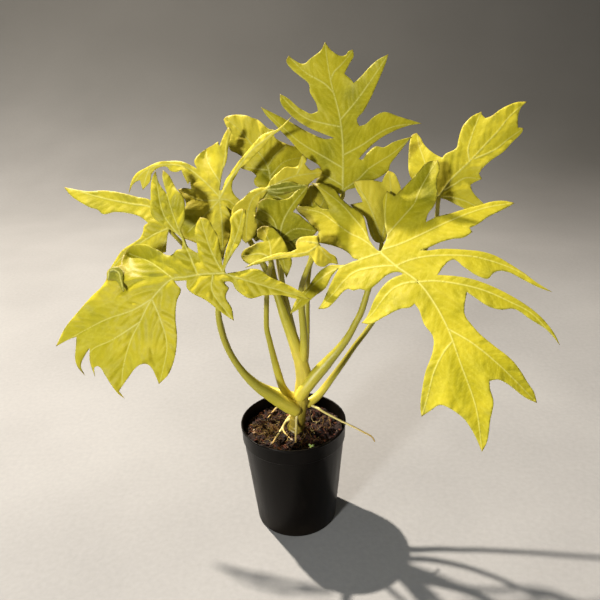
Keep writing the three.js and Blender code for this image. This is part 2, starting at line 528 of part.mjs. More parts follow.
// A round tube along a smooth curve through the given points, tapering between their radii
function tube(points, radii, sides, extra = 0) {
  const curve = new THREE.CatmullRomCurve3(points, false, 'centripetal');
  const steps = (points.length - 1) * 2;
  const frames = curve.computeFrenetFrames(steps, false);
  const places = [];
  const triangles = [];
  for (let i = 0; i <= steps; i += 1) {
    const along = i / steps;
    const centre = curve.getPointAt(along);
    const spot = curve.getUtoTmapping(along) * (points.length - 1);
    const k = Math.min(Math.floor(spot), points.length - 2);
    const radius = THREE.MathUtils.lerp(radii[k], radii[k + 1], spot - k) + extra;
    for (let j = 0; j < sides; j += 1) {
      const angle = (j / sides) * Math.PI * 2;
      places.push(centre.clone()
        .addScaledVector(frames.normals[i], radius * Math.cos(angle))
        .addScaledVector(frames.binormals[i], radius * Math.sin(angle)));
    }
  }
  for (let i = 0; i < steps; i += 1) {
    for (let j = 0; j < sides; j += 1) {
      const a = i * sides + j;
      const b = i * sides + ((j + 1) % sides);
      triangles.push([a, b, b + sides], [a, b + sides, a + sides]);
    }
  }
  const last = steps * sides;
  for (let j = 1; j + 1 < sides; j += 1) {
    triangles.push([0, j + 1, j], [last, last + j, last + j + 1]);
  }
  return solidFrom(places, triangles);
}

function tubeThrough(path, sides, extra = 0) {
  const points = path.map(([across, down, y]) => atDepth(across, down, y));
  return tube(points, path.map((step) => step[3]), sides, extra);
}

// A leaf's stalk, which ends a little way along the midrib, astride the blade
function stalkSolid(leaf, extra = 0) {
  const points = leaf.stalk.map(([across, down, y]) => atDepth(across, down, y));
  const radii = leaf.stalk.map((step) => step[3]);
  const [near, next] = leaf.ribs[0].at;
  const part = stalkGrip / Math.hypot(next[0] - near[0], next[1] - near[1]);
  points.push(leafSurface(leaf)([0, 1].map((k) => THREE.MathUtils.lerp(near[k], next[k], part))));
  radii.push(radii[radii.length - 1] * 0.8);
  return tube(points, radii, stalkSides, extra);
}

function rootThrough(path, extra = 0) {
  const points = path.map(([across, down, z]) => atHeight(across, down, z));
  return tube(points, path.map((step) => step[3]), rootSides, extra);
}

// Points along each rib with how far each is sunk from the leaf's flat
function ribSamples(leaf) {
  const samples = [];
  for (const rib of leaf.ribs) {
    const spans = rib.at.slice(1).map((spot, i) => (
      Math.hypot(spot[0] - rib.at[i][0], spot[1] - rib.at[i][1])));
    const whole = spans.reduce((a, b) => a + b, 0);
    const start = samples.length === 0 ? 0 : sunkAt(samples, rib.at[0][0], rib.at[0][1]);
    const far = start / 2 + rib.sink;
    let run = 0;
    const own = [];
    rib.at.forEach((spot, i) => {
      if (i > 0) run += spans[i - 1];
      const part = run / whole;
      own.push([spot[0], spot[1], THREE.MathUtils.lerp(start, far, part * part)]);
    });
    samples.push(...own);
  }
  return samples;
}

// Distance-weighted mean of the rib samples
function sunkAt(samples, across, down) {
  let total = 0;
  let weights = 0;
  for (const [a, d, sunk] of samples) {
    const weight = 1 / ((across - a) ** 2 + (down - d) ** 2 + 4) ** 1.5;
    total += weight * sunk;
    weights += weight;
  }
  return total / weights;
}

function crossing(a, b, c) {
  return (b[0] - a[0]) * (c[1] - a[1]) - (b[1] - a[1]) * (c[0] - a[0]);
}

function insideOutline(outline, spot) {
  let inside = false;
  outline.forEach((a, i) => {
    const b = outline[(i + 1) % outline.length];
    const spans = a[1] > spot[1] !== b[1] > spot[1];
    if (spans && spot[0] < a[0] + ((spot[1] - a[1]) / (b[1] - a[1])) * (b[0] - a[0])) inside = !inside;
  });
  return inside;
}

function distanceToOutline(outline, spot) {
  let nearest = Infinity;
  outline.forEach((a, i) => {
    const b = outline[(i + 1) % outline.length];
    const [ux, uy] = [b[0] - a[0], b[1] - a[1]];
    const along = ((spot[0] - a[0]) * ux + (spot[1] - a[1]) * uy) / (ux * ux + uy * uy);
    const held = THREE.MathUtils.clamp(along, 0, 1);
    nearest = Math.min(nearest, Math.hypot(spot[0] - a[0] - held * ux, spot[1] - a[1] - held * uy));
  });
  return nearest;
}

// Splits the leaf's outline into triangles, with points added on the ribs so that it can bend
function leafTriangles(leaf) {
  const spots = leaf.margin.map((spot) => [...spot]);
  const outline = leaf.margin;
  const shape = spots.map(([x, y]) => new THREE.Vector2(x, y));
  const sameWay = ([a, b, c]) => (crossing(spots[a], spots[b], spots[c]) > 0 ? [a, b, c] : [a, c, b]);
  let triangles = THREE.ShapeUtils.triangulateShape(shape, []).map(sameWay);
  const ribSpots = leaf.ribs.flatMap((rib) => rib.at);
  for (const spot of ribSpots) {
    const clear = spots.every((other) => Math.hypot(other[0] - spot[0], other[1] - spot[1]) > 3.5);
    if (!clear || !insideOutline(outline, spot) || distanceToOutline(outline, spot) < 1.6) continue;
    const holder = triangles.findIndex(([a, b, c]) => crossing(spots[a], spots[b], spot) >= 0
      && crossing(spots[b], spots[c], spot) >= 0 && crossing(spots[c], spots[a], spot) >= 0);
    const [a, b, c] = triangles[holder];
    const made = spots.push(spot) - 1;
    triangles.splice(holder, 1, [a, b, made], [b, c, made], [c, a, made]);
    triangles = flippedToDelaunay(spots, triangles);
  }
  return { spots, triangles: flippedToDelaunay(spots, triangles) };
}

// Swaps the shared edge of two triangles where that makes them less slender
function flippedToDelaunay(spots, given) {
  const triangles = given.map((t) => [...t]);
  let changed = true;
  for (let round = 0; changed && round < 40; round += 1) {
    changed = false;
    const owners = new Map();
    triangles.forEach((t, i) => {
      for (let k = 0; k < 3; k += 1) owners.set(`${t[k]},${t[(k + 1) % 3]}`, [i, k]);
    });
    const touched = new Set();
    for (const [edge, [i, k]] of owners) {
      const [a, b] = edge.split(',').map(Number);
      const other = owners.get(`${b},${a}`);
      if (!other || touched.has(i) || touched.has(other[0])) continue;
      const c = triangles[i][(k + 2) % 3];
      const d = triangles[other[0]][(other[1] + 2) % 3];
      const convex = crossing(spots[c], spots[a], spots[d]) > 1e-6
        && crossing(spots[d], spots[b], spots[c]) > 1e-6;
      if (convex && insideCircle(spots[a], spots[b], spots[c], spots[d])) {
        triangles[i] = [c, a, d];
        triangles[other[0]] = [d, b, c];
        touched.add(i).add(other[0]);
        changed = true;
      }
    }
  }
  return triangles;
}

function insideCircle(a, b, c, d) {
  const rows = [a, b, c].map(([x, y]) => [x - d[0], y - d[1], (x - d[0]) ** 2 + (y - d[1]) ** 2]);
  const [p, q, r] = rows;
  const size = p[0] * (q[1] * r[2] - q[2] * r[1]) - p[1] * (q[0] * r[2] - q[2] * r[0])
    + p[2] * (q[0] * r[1] - q[1] * r[0]);
  return size > 1e-6;
}

// The bent surface of a leaf: where the line of sight through a place meets it
function leafSurface(leaf) {
  const facing = new THREE.Vector3(...leaf.facing).normalize();
  const level = facing.dot(atDepth(...leaf.base).sub(sight.eye));
  const samples = ribSamples(leaf);
  return ([across, down]) => {
    const line = sightLine(across, down);
    const reach = (level + sunkAt(samples, across, down)) / facing.dot(line);
    return line.multiplyScalar(reach).add(sight.eye);
  };
}

// A leaf blade as a closed sheet: the triangles on both faces, and a wall round the margin
function blade(leaf, extra = 0) {
  const facing = new THREE.Vector3(...leaf.facing).normalize();
  const { spots, triangles } = leafTriangles(leaf);
  const middle = spots.map(leafSurface(leaf));
  const normals = middle.map(() => new THREE.Vector3());
  for (const [a, b, c] of triangles) {
    const across = middle[b].clone().sub(middle[a]);
    const normal = across.cross(middle[c].clone().sub(middle[a]));
    [a, b, c].forEach((i) => normals[i].add(normal));
  }
  const half = bladeThickness / 2 + extra;
  const count = middle.length;
  const upper = middle.map((point, i) => {
    const normal = normals[i].normalize();
    if (normal.dot(facing) < 0) normal.negate();
    return point.clone().addScaledVector(normal, half);
  });
  const lower = middle.map((point, i) => point.clone().addScaledVector(normals[i], -half));
  const rim = leaf.margin.length;
  const faces = [];
  for (const [a, b, c] of triangles) faces.push([a, c, b], [count + a, count + b, count + c]);
  const edgeTurn = THREE.ShapeUtils.area(leaf.margin.map(([x, y]) => new THREE.Vector2(x, y))) > 0;
  for (let i = 0; i < rim; i += 1) {
    const [a, b] = edgeTurn ? [i, (i + 1) % rim] : [(i + 1) % rim, i];
    faces.push([a, b, count + b], [a, count + b, count + a]);
  }
  return solidFrom([...upper, ...lower], faces);
}

function potInnerRadius(z) {
  const bandFoot = potHeight - potBandHeight;
  return potBaseRadius + ((potRimRadius - 2.4 - potBaseRadius) * z) / bandFoot - potWall;
}

function makePot() {
  const bandFoot = potHeight - potBandHeight;
  const outer = potRimRadius;
  const body = turned([
    [0, 0], [potBaseRadius - 1.2, 0], [potBaseRadius, 1.4], [outer - 2.4, bandFoot - 1],
    [outer - 1.1, bandFoot + 0.4], [outer - 0.5, potHeight - 2.4], [outer, potHeight - 1.8],
    [outer - 0.3, potHeight], [outer - 1.8, potHeight], [outer - 2.3, potHeight - 1.6],
    [outer - 2.9, bandFoot + 1.4], [outer - 2.4 - potWall, bandFoot - 2.2],
    [potInnerRadius(potFloor + 1), potFloor + 1], [potInnerRadius(0) - 1, potFloor], [0, potFloor],
  ], potSegments);
  let pot = body;
  for (let i = 0; i < drainHoleCount; i += 1) {
    const angle = (i / drainHoleCount) * Math.PI * 2;
    const hole = new THREE.CylinderGeometry(drainHoleRadius, drainHoleRadius, potFloor * 4, 16);
    hole.rotateX(Math.PI / 2);
    hole.translate(drainRingRadius * Math.cos(angle), drainRingRadius * Math.sin(angle), 0);
    pot = pot.subtract(solidFromGeometry(hole));
  }
  return pot;
}

// Height of the lumpy top of the potting mix
function soilHeight(x, y) {
  const lumps = 1.5 * Math.sin(x * 0.21 + 1.3) * Math.cos(y * 0.19 - 0.4)
    + 1.0 * Math.sin(x * 0.43 - y * 0.37) + 0.7 * Math.cos(x * 0.71 + y * 0.66);
  return soilLevel + lumps;
}

function makeSoil() {
  const foot = potFloor + soilGap;
  const points = [new THREE.Vector3(0, 0, soilHeight(0, 0)), new THREE.Vector3(0, 0, foot)];
  const ring = (radius, height) => {
    const start = points.length;
    for (let i = 0; i < soilSectors; i += 1) {
      const angle = (i / soilSectors) * Math.PI * 2;
      const [x, y] = [radius * Math.cos(angle), radius * Math.sin(angle)];
      points.push(new THREE.Vector3(x, y, height ?? soilHeight(x, y)));
    }
    return start;
  };
  const topRadius = potInnerRadius(potHeight - potBandHeight - 2) - soilGap - 0.3;
  const starts = [];
  for (let j = 1; j <= soilRings; j += 1) starts.push(ring((topRadius * j) / soilRings));
  starts.push(ring(topRadius, potHeight - potBandHeight - 3));
  starts.push(ring(potInnerRadius(potFloor + 3) - soilGap - 0.3, potFloor + 3));
  starts.push(ring(potInnerRadius(potFloor) - soilGap - 2, foot));
  const triangles = [];
  for (let i = 0; i < soilSectors; i += 1) {
    const next = (i + 1) % soilSectors;
    triangles.push([0, starts[0] + i, starts[0] + next]);
    for (let j = 0; j + 1 < starts.length; j += 1) {
      const [a, b] = [starts[j] + i, starts[j] + next];
      const [c, d] = [starts[j + 1] + i, starts[j + 1] + next];
      triangles.push([a, c, d], [a, d, b]);
    }
    const last = starts[starts.length - 1];
    triangles.push([1, last + next, last + i]);
  }
  return solidFrom(points, triangles);
}

function stemSolid(extra = 0) {
  const stem = tubeThrough(stemPath, stemSides, extra);
  return Manifold.union([stem, ...rootPaths.map((path) => rootThrough(path, extra))]);
}

function matte(colour, roughness) {
  return new THREE.MeshStandardMaterial({ color: colour, roughness, metalness: 0 });
}

function build() {
  const plant = new THREE.Group();
  plant.name = 'potted_philodendron';
  const stemClear = stemSolid(jointGap);
  plant.add(meshFrom('pot', makePot(), matte(colours.pot, 0.45)));
  plant.add(meshFrom('soil', mainBody(makeSoil().subtract(stemClear)), matte(colours.soil, 0.95)));
  plant.add(meshFrom('stem', mainBody(stemSolid()), matte(colours.stem, 0.5)));

  const taken = [stemClear];
  const sheets = Object.entries(leaves).map(([name, leaf]) => [name, blade(leaf), blade(leaf, jointGap)]);
  for (const [name, leaf] of Object.entries(leaves)) {
    const own = sheets.find(([other]) => other === name)[2];
    const stalk = stalkSolid(leaf);
    const clear = mainBody(stalk.subtract(Manifold.union([...taken, own])));
    plant.add(meshFrom(`stalk_${name}`, clear, matte(colours.stalk, 0.45)));
    taken.push(stalkSolid(leaf, jointGap));
  }
  for (const [name, sheet] of sheets) {
    plant.add(meshFrom(`blade_${name}`, sheet, matte(colours.blade, 0.42)));
  }
  return plant;
}

export default build();
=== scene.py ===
import math
import random

import bpy
import numpy as np
from mathutils import Matrix, Vector, noise
from mathutils.geometry import delaunay_2d_cdt
from mathutils.kdtree import KDTree


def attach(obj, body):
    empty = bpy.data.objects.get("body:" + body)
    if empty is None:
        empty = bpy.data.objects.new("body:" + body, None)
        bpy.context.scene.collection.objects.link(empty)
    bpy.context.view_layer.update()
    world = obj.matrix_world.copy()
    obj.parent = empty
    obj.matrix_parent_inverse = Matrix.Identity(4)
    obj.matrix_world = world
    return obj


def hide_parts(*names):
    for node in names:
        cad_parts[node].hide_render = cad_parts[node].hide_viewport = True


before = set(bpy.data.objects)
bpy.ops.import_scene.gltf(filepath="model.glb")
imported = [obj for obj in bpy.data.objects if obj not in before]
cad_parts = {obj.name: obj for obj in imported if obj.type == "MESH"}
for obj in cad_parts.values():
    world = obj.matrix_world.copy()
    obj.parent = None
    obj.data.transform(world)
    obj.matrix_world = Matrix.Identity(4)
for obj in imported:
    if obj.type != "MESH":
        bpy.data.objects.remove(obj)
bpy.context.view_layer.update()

# Potted golden-leaved philodendron. Every leaf is laid out as it looks from one point in front of the
# plant: places are in sight units across and down a 600 by 600 view, with a depth y in millimetres.
sight = {"eye": (12.3, -620.8, 544.7), "focal": 640, "view": 600, "pitch": 23.2, "roll": 2.0}

# base: where the stalk meets the blade. facing: the blade's upper side. margin: its outline.
# ribs: how far the rib's far end bends from the flat, and its course, midrib first.
# stalk: across, down, depth, radius from the stem to the blade.
leafShapes = {
    "front_right": {
        "base": (380, 252, -10), "facing": (-0.18, -0.52, 0.83),
        "margin": [
            (379, 251), (372, 244), (369, 238), (367, 229), (362, 214), (350, 206), (342, 199), (335, 190),
            (325, 184), (311, 183), (319, 190), (324, 198), (329, 209), (321, 208), (314, 201), (305, 204),
            (295, 207.5), (299, 213), (306, 219), (312, 226), (318, 231), (319, 236), (320, 243),
            (328, 244.5), (337, 247), (344, 250), (350, 254.5), (353, 258), (359, 260), (353, 261.5),
            (343, 265), (330, 265), (324, 268), (318, 273), (312, 281), (308, 288), (301, 293), (295, 302),
            (290, 314), (302, 307), (315, 296), (325.5, 288), (332, 275.5), (339, 268), (335, 275.5),
            (331, 283), (327.5, 291), (322, 303), (318, 309), (327, 308), (336, 300), (343, 292),
            (348, 289), (353, 290.5), (360, 289), (368, 291), (373, 287), (378, 283), (383, 278),
            (390, 273.6), (398, 272), (404, 274), (393, 278), (386, 283), (380, 290), (374, 300),
            (370, 310), (366, 318), (361.6, 323), (370, 324), (384, 317), (400, 309), (411, 307),
            (414.5, 303.6), (419, 310), (424, 324), (433, 337), (433, 350), (430, 360), (426, 370),
            (423, 384), (420.4, 408), (421.5, 416.6), (430, 411), (440, 405), (446, 406.6), (454, 411),
            (464, 419), (470, 427), (476, 438), (482, 452), (487, 442), (490.4, 420), (493.6, 402),
            (490, 388), (489.6, 381), (498, 379.6), (506, 383), (526, 398), (537, 403), (534, 392),
            (528, 383), (520, 370), (512, 360), (492, 344), (480, 334), (472, 325), (465, 315),
            (464.4, 308), (467, 292), (474, 297), (490, 307), (500, 309.6), (514, 309), (530, 319),
            (548, 331), (560, 345), (554, 333), (540, 316), (520, 301), (496, 288), (472, 279),
            (450, 275.6), (437.5, 275), (444, 266), (449, 261), (454, 259.6), (464, 267), (480, 277),
            (488, 278.6), (493, 273.6), (498, 271), (508, 272), (522, 279), (540, 288), (552, 292),
            (536, 282), (524, 273), (510, 264), (496, 256), (484, 252), (468, 250), (440, 249),
            (428, 250.6), (420, 250.5), (430, 247), (440, 242.4), (452, 239), (464, 237.4), (472.4, 232),
            (469.6, 228), (478, 224), (488, 217), (498, 212), (508, 207), (514.6, 203), (504, 200.8),
            (492, 201.6), (480, 205), (468, 208), (452, 213), (436, 217), (426, 222), (428, 214),
            (434, 206), (437, 197), (437, 180), (439.6, 168), (438, 160), (426, 163), (420, 170),
            (408, 183), (395, 196), (387, 191), (383, 198), (383.6, 210), (385, 226), (387, 236),
            (381, 251),
        ],
        "ribs": [
            (-26, [
                (380, 252), (396, 266), (418, 282), (434, 303), (448, 329), (460, 362), (476, 408),
                (482, 451),
            ]),
            (-24, [(396, 266), (410, 260), (430, 256), (468, 256), (484, 259), (515, 270), (552, 292)]),
            (-26, [(418, 282), (436, 281), (468, 286), (488, 292), (510, 302), (532, 314), (560, 345)]),
            (-26, [(448, 329), (472, 343), (500, 366), (536, 402)]),
            (-18, [(418, 282), (406, 283), (394, 288), (384, 298), (372, 314), (362, 323)]),
            (-16, [(396, 266), (385, 266), (370, 268), (355, 272), (345, 280), (333, 294), (319, 309)]),
            (-16, [(381, 253), (365, 258), (335, 270), (318, 281), (303, 297), (290, 314)]),
            (-22, [(452, 342), (444, 352), (434, 372), (428, 395), (422, 416)]),
            (10, [(381, 251), (387, 236), (402, 218), (414, 204), (420, 190), (430, 172), (438, 160)]),
            (10, [(387, 236), (385, 215), (387, 191)]),
            (-14, [(381, 250), (400, 244), (418, 236), (452, 220), (485, 208), (514, 203)]),
            (28, [(379, 251), (369, 240), (364, 231), (352, 216), (341, 204), (318, 186)]),
            (16, [(379, 251), (360, 238), (351, 234), (334, 222), (321, 213), (296, 208)]),
        ],
        "stalk": [
            (298, 400, -5, 5.8), (304, 390, -6.5, 6.9), (311, 381, -6, 7.1), (318.5, 372, -5, 6.9),
            (328, 361.4, -5, 6.1), (339.3, 348.6, -6, 4.7), (347.9, 337, -8, 3.9), (355, 324, -9, 3.6),
            (360.7, 312.9, -9, 3.4), (367.9, 290.7, -8, 3.1), (375, 270, -6, 2.8), (379.5, 254.5, -8, 2.4),
        ],
    },
    "top": {
        "base": (342.75, 193, 62), "facing": (0.05, -0.97, 0.22),
        "margin": [
            (325, 42), (331, 50), (336, 53.75), (341, 56), (345.6, 55), (348.75, 51), (353, 49.6),
            (353.75, 56), (350, 63), (344.4, 73.75), (351, 79.4), (353.75, 83), (358.75, 78.75),
            (371, 65.6), (377.5, 60), (388.5, 54), (385.6, 63.75), (378.75, 80), (371, 97.5), (363, 112),
            (357, 119.4), (359.4, 126), (365, 124.4), (375, 116), (385, 112), (397.5, 116), (422, 123.5),
            (408.75, 125.6), (391, 132.5), (380, 138.75), (368.75, 148), (359, 158.75), (362.5, 160),
            (367.5, 153), (376.9, 146.2), (382.5, 147.5), (393.75, 141.9), (412.5, 136.5), (408, 141.25),
            (397.5, 155), (390, 165), (388.75, 170), (380, 177), (372, 181), (362, 186), (353, 188.5),
            (347, 190), (343.75, 193.5), (341, 194), (335, 193), (324, 189), (315, 185), (317, 179),
            (322, 172), (318.75, 165.6), (310, 160), (302, 154), (293, 143.75), (280, 130), (275, 124.4),
            (266, 115), (260.6, 106.9), (270, 111.5), (280, 116.5), (295, 124.7), (311, 133.5), (326, 139),
            (334, 138), (325, 134.5), (311, 128.75), (300, 122.5), (288.75, 113), (280.6, 102.5), (280, 94),
            (287.5, 98), (298.75, 107.5), (305, 111.25), (311, 113.75), (318, 111.25), (316.25, 103.75),
            (310, 92.5), (308.75, 84), (300, 76.25), (291.25, 68.75), (286.25, 60.6), (288.75, 55.6),
            (295, 60.6), (303.75, 63.75), (311, 58), (320.6, 50.6),
        ],
        "ribs": [
            (-10, [
                (342.75, 192.5), (343, 167.5), (342.5, 140), (339.4, 115), (331, 82.5), (327.5, 62.5),
                (325, 43),
            ]),
            (-10, [(331, 79), (334, 72), (340, 66), (347, 58), (352.5, 50.5)]),
            (10, [(341, 119), (353, 105), (360, 96), (378, 70), (388, 55)]),
            (-14, [(343.5, 155), (362, 145), (382, 131.5), (396, 126), (421, 123.4)]),
            (-8, [(343, 190), (358.75, 178.75), (368.75, 168.75), (393.75, 152.5), (411, 137.5)]),
            (-12, [(333, 92), (325, 84), (305, 72), (290, 58)]),
            (-12, [(341.5, 127), (320, 122.5), (308, 119), (297, 112), (280.5, 95)]),
            (8, [(343, 168), (326, 158), (301, 143), (288, 132), (262, 108)]),
            (-8, [(343, 186), (335, 181), (326, 176), (319, 173)]),
        ],
        "stalk": [
            (303, 372, 3, 4.2), (305, 358, 9, 4.1), (306, 340, 15, 3.9), (306.5, 315, 22, 3.6),
            (307, 292, 29, 3.4), (309, 268, 37, 3.1), (316, 245, 47, 3), (327, 222, 60, 2.8),
            (338, 204, 66, 2.5), (342.7, 195.5, 64, 2.3),
        ],
    },
    "back_right": {
        "base": (438.6, 196.5, 75), "facing": (-0.25, -0.85, 0.45),
        "margin": [
            (416.8, 133), (421.4, 139), (423.6, 143.6), (427.3, 148), (436.4, 155), (442.3, 157.7),
            (445.5, 154), (454.5, 149.5), (456.8, 147.3), (458, 141.8), (460, 133.6), (462.7, 126.4),
            (467.3, 120.5), (471.8, 116.4), (481.4, 111.6), (482.3, 115), (485.5, 118.2), (491, 116),
            (501.8, 108.6), (516.4, 102.3), (527.3, 101.6), (521, 107.7), (518, 117.3), (518, 127.3),
            (523.6, 128.2), (522.3, 131.8), (511, 143.6), (504.5, 151), (491, 160.5), (482.7, 168.2),
            (479, 173.6), (482, 179), (474.5, 182.3), (470.5, 185), (472.3, 191), (480, 200), (484, 204),
            (487, 213), (476, 213), (458, 205.5), (445.5, 199.5), (438.6, 197.5), (436.5, 197), (428, 193),
            (418, 186), (410, 176), (408.4, 158), (410, 141), (412, 135),
        ],
        "ribs": [
            (-10, [
                (438.6, 196.5), (451, 179.5), (469.5, 161.4), (487, 142.7), (498, 131), (509, 117),
                (526, 102),
            ]),
            (-14, [(438.6, 195.5), (430, 178), (424, 160), (419, 145), (417, 134)]),
            (-8, [(469.5, 161), (468, 150), (471, 138), (476, 124), (481, 112.5)]),
            (-12, [(475, 158.6), (496, 149), (507, 140), (523, 128.6)]),
            (-8, [(445, 190), (455, 184), (465, 178), (481.5, 179)]),
            (-10, [(440, 196.5), (452, 197.5), (465, 201), (486, 212)]),
        ],
        "stalk": [
            (304, 406, 2, 5.2), (317.9, 395.7, 10, 4.6), (333.6, 375.7, 20, 3.6), (345, 360, 28, 3.2),
            (355, 345.7, 34, 3.1), (365, 332.9, 40, 3), (372, 322.9, 44, 2.9), (388, 298, 54, 2.8),
            (408, 270, 64, 2.7), (426, 248, 71, 2.6), (436, 222, 77, 2.4), (438.6, 199, 76, 2.2),
        ],
    },
    "front_left": {
        "base": (224, 273, -40), "facing": (-0.15, -0.85, 0.5),
        "margin": [
            (225, 270), (230, 258.6), (234.3, 251.4), (240, 243), (244.3, 225.7), (246, 215), (245.7, 210),
            (241.4, 208.6), (234.3, 213), (230, 218.6), (231, 226), (230, 237), (226, 250), (222.5, 266),
            (221, 253), (217, 234), (213, 228), (210.2, 221.7), (205, 218), (200, 217.5), (196.7, 223),
            (195, 231.7), (196.7, 243), (198, 253), (195, 251.7), (188, 246.7), (185, 239), (181, 230),
            (184, 222), (185, 205.7), (184, 198.6), (181.4, 194.3), (177, 190), (169.3, 175.7),
            (162.9, 170), (162.4, 177), (167, 194.3), (159, 182.9), (155.4, 170.7), (151.7, 180),
            (150.7, 198.6), (151.4, 214), (157, 221), (169, 229), (181, 238), (182.5, 243), (181.7, 249),
            (176.7, 250), (171.7, 255), (166.7, 255), (160, 251), (153, 248), (146.7, 244.7), (140, 244),
            (130.8, 246.7), (122.5, 257), (120.8, 265), (113, 267), (107.5, 271), (106.5, 279),
            (101.7, 286.7), (93, 295), (78, 311.7), (65, 328), (56, 346.3), (70, 339), (76.5, 336.8),
            (76, 345), (75.3, 360), (78, 367.5), (85.3, 376), (81, 366), (85.8, 354), (89.7, 348.3),
            (90, 361.7), (95, 376.7), (94, 368), (97.5, 366), (100.8, 368), (105, 375), (117.5, 393),
            (124.7, 398.7), (119, 391), (128, 378), (138, 366), (145, 363.7), (150, 366), (156, 376.7),
            (159, 384), (168, 375), (175, 356.7), (177, 333), (175.8, 323), (176.7, 301.7), (180.8, 289),
            (178, 286), (174.5, 281), (186.5, 280.5), (187, 288), (206.7, 300.8), (225, 315), (234, 320.8),
            (231.7, 308), (225.8, 296.7), (229, 288), (223, 281.5), (232, 282.5), (235, 288), (240, 293),
            (250, 298.4), (263, 295.6), (283, 295.5), (299, 299.5), (310, 299), (299, 290.7), (279, 280.7),
            (269, 276.4), (262, 270.7), (252, 268.6), (241, 271), (226, 273.4),
        ],
        "ribs": [
            (-46, [
                (224, 273), (200, 274.5), (186, 277), (173, 278.5), (152, 299), (140, 322), (131, 340),
                (123, 370), (122, 396),
            ]),
            (-34, [(173, 278.5), (150, 262), (130, 254)]),
            (-44, [(152, 299), (133, 310), (105, 320), (57, 346)]),
            (-44, [(140, 322), (112, 340), (92, 350), (81, 370)]),
            (-36, [(152, 299), (160, 318), (167, 345), (160, 383)]),
            (0, [(197, 273), (190, 256), (183, 240), (170, 205), (162, 172)]),
            (0, [(183, 240), (164, 215), (155.5, 173)]),
            (3, [(222, 271), (210, 248), (201, 219)]),
            (3, [(224, 270), (232, 248), (239, 228), (243, 210)]),
            (-6, [(213, 275), (212, 290), (233, 320)]),
            (-6, [(226, 274), (245, 280), (275, 289), (309, 299)]),
        ],
        "stalk": [
            (299, 412, -6, 7), (292, 408, -8.5, 7.7), (281, 401.5, -11, 7.4), (268, 393, -15, 6.6),
            (255, 384, -20, 5.4), (242, 371, -24, 4), (226.4, 345.7, -31, 3.2), (219, 320, -34, 3),
            (218.5, 303, -33, 2.8), (221, 287, -33, 2.5), (223.8, 275.5, -37, 2.2),
        ],
    },
    "far_left": {
        "base": (169, 228, 62), "facing": (-0.1, -0.8, 0.6),
        "margin": [
            (171, 226), (168, 218), (158, 206), (148, 199), (138, 197), (126.7, 194), (113, 191.3),
            (101.7, 190.5), (90, 191.3), (80, 190.3), (64, 187), (68, 192.5), (73, 197.5), (81.7, 203),
            (90, 207.5), (98, 210), (102.5, 214), (115, 212), (126.7, 213), (140, 216.7), (148, 223),
            (144, 226), (143, 231.7), (140, 238), (135, 241.7), (121.7, 250.8), (116.7, 258), (108, 272),
            (122, 268), (145, 259), (166, 252), (166.7, 243), (167.5, 235), (169, 230),
        ],
        "ribs": [
            (-14, [(169, 228), (162, 216), (150, 207), (133, 204), (106.7, 199), (64.5, 187.3)]),
            (-16, [(169, 228), (155, 234), (142, 242), (128, 252), (109, 271)]),
            (-8, [(169, 229), (166, 240), (160, 254)]),
        ],
        "stalk": [
            (300, 396, 5, 4.3), (291, 395, 16, 4.2), (278, 391.5, 26, 4), (262, 386, 34, 3.7),
            (243, 372, 42, 3.3), (228, 346.5, 49, 3), (220.5, 322, 54, 2.8), (217, 303, 57, 2.7),
            (209, 283, 60, 2.6), (197, 265, 63, 2.5), (184, 246, 66, 2.3), (170.5, 231, 65, 2),
        ],
    },
    "upper_left": {
        "base": (219.5, 199, 35), "facing": (-0.15, -0.87, 0.46),
        "margin": [
            (222, 190), (225.7, 180), (231.4, 171.4), (238.6, 161.4), (245.7, 153), (253, 144.3),
            (263, 134.3), (277, 129.3), (293, 115), (281.4, 129.3), (274.3, 134.3), (263, 147),
            (254.3, 155.7), (245.7, 164.3), (240, 168.6), (237, 174.3), (232.9, 181.4), (232, 188.6),
            (234.3, 194.3), (241, 201), (237, 208), (233, 211.4), (226, 206), (230, 213), (231.4, 222),
            (230, 237), (225.7, 248.6), (222.9, 262), (220, 251.4), (216, 243), (208, 246), (202, 245),
            (197, 243.5), (190, 240.5), (184.5, 238.5), (181, 232), (178, 224), (177, 216), (179, 211),
            (183, 209), (185.7, 207), (185, 200), (181.4, 195), (177.9, 189.3), (184.3, 187.9),
            (191.4, 189), (190, 181.4), (187.9, 184.3), (182.9, 174.3), (181.4, 170), (177, 171.9),
            (170, 170.7), (167, 166.9), (158.6, 167.9), (151.4, 174.3), (150.7, 180), (142.9, 190),
            (140, 180), (134.3, 182.9), (128.6, 193.6), (132, 180), (137, 172.9), (144.3, 168.6),
            (158.6, 162), (168.6, 161), (181.4, 161.4), (193, 166.4), (197, 168.6), (194.3, 161.4),
            (196.4, 157), (204.3, 150), (212.9, 145), (218, 141.5), (219.5, 146), (223, 137), (226, 131),
            (228.5, 127), (231, 129), (230, 138), (228, 150), (226.4, 161.4), (223, 170), (221, 180),
            (219.5, 190),
        ],
        "ribs": [
            (14, [(219.5, 198.5), (228, 183), (238, 168), (252, 150), (268, 137), (291, 116.5)]),
            (-4, [(219.5, 197), (220.5, 181), (224, 162), (227, 144), (229.5, 130)]),
            (-14, [(220, 182), (208, 162), (206, 150)]),
            (-22, [(219, 196), (203, 180), (185, 167), (160, 165), (141, 174), (130, 192)]),
            (-18, [(150, 168), (146, 178), (143, 189)]),
            (-8, [(219.5, 200), (200, 200), (182, 191)]),
            (-2, [(219.5, 200), (222, 222), (223, 260)]),
            (-6, [(219.5, 200), (205, 215), (188, 232)]),
            (-4, [(220, 199), (228, 200), (236, 206)]),
        ],
        "stalk": [
            (297.5, 353, 0.5, 6.3), (294.5, 343, 0.8, 6.2), (290.4, 331.4, 1, 5.9), (285, 317, 3, 5.3),
            (278, 297, 7, 4.3), (270, 278, 12, 3.6), (258, 255, 20, 3.1), (243, 230, 30, 2.8),
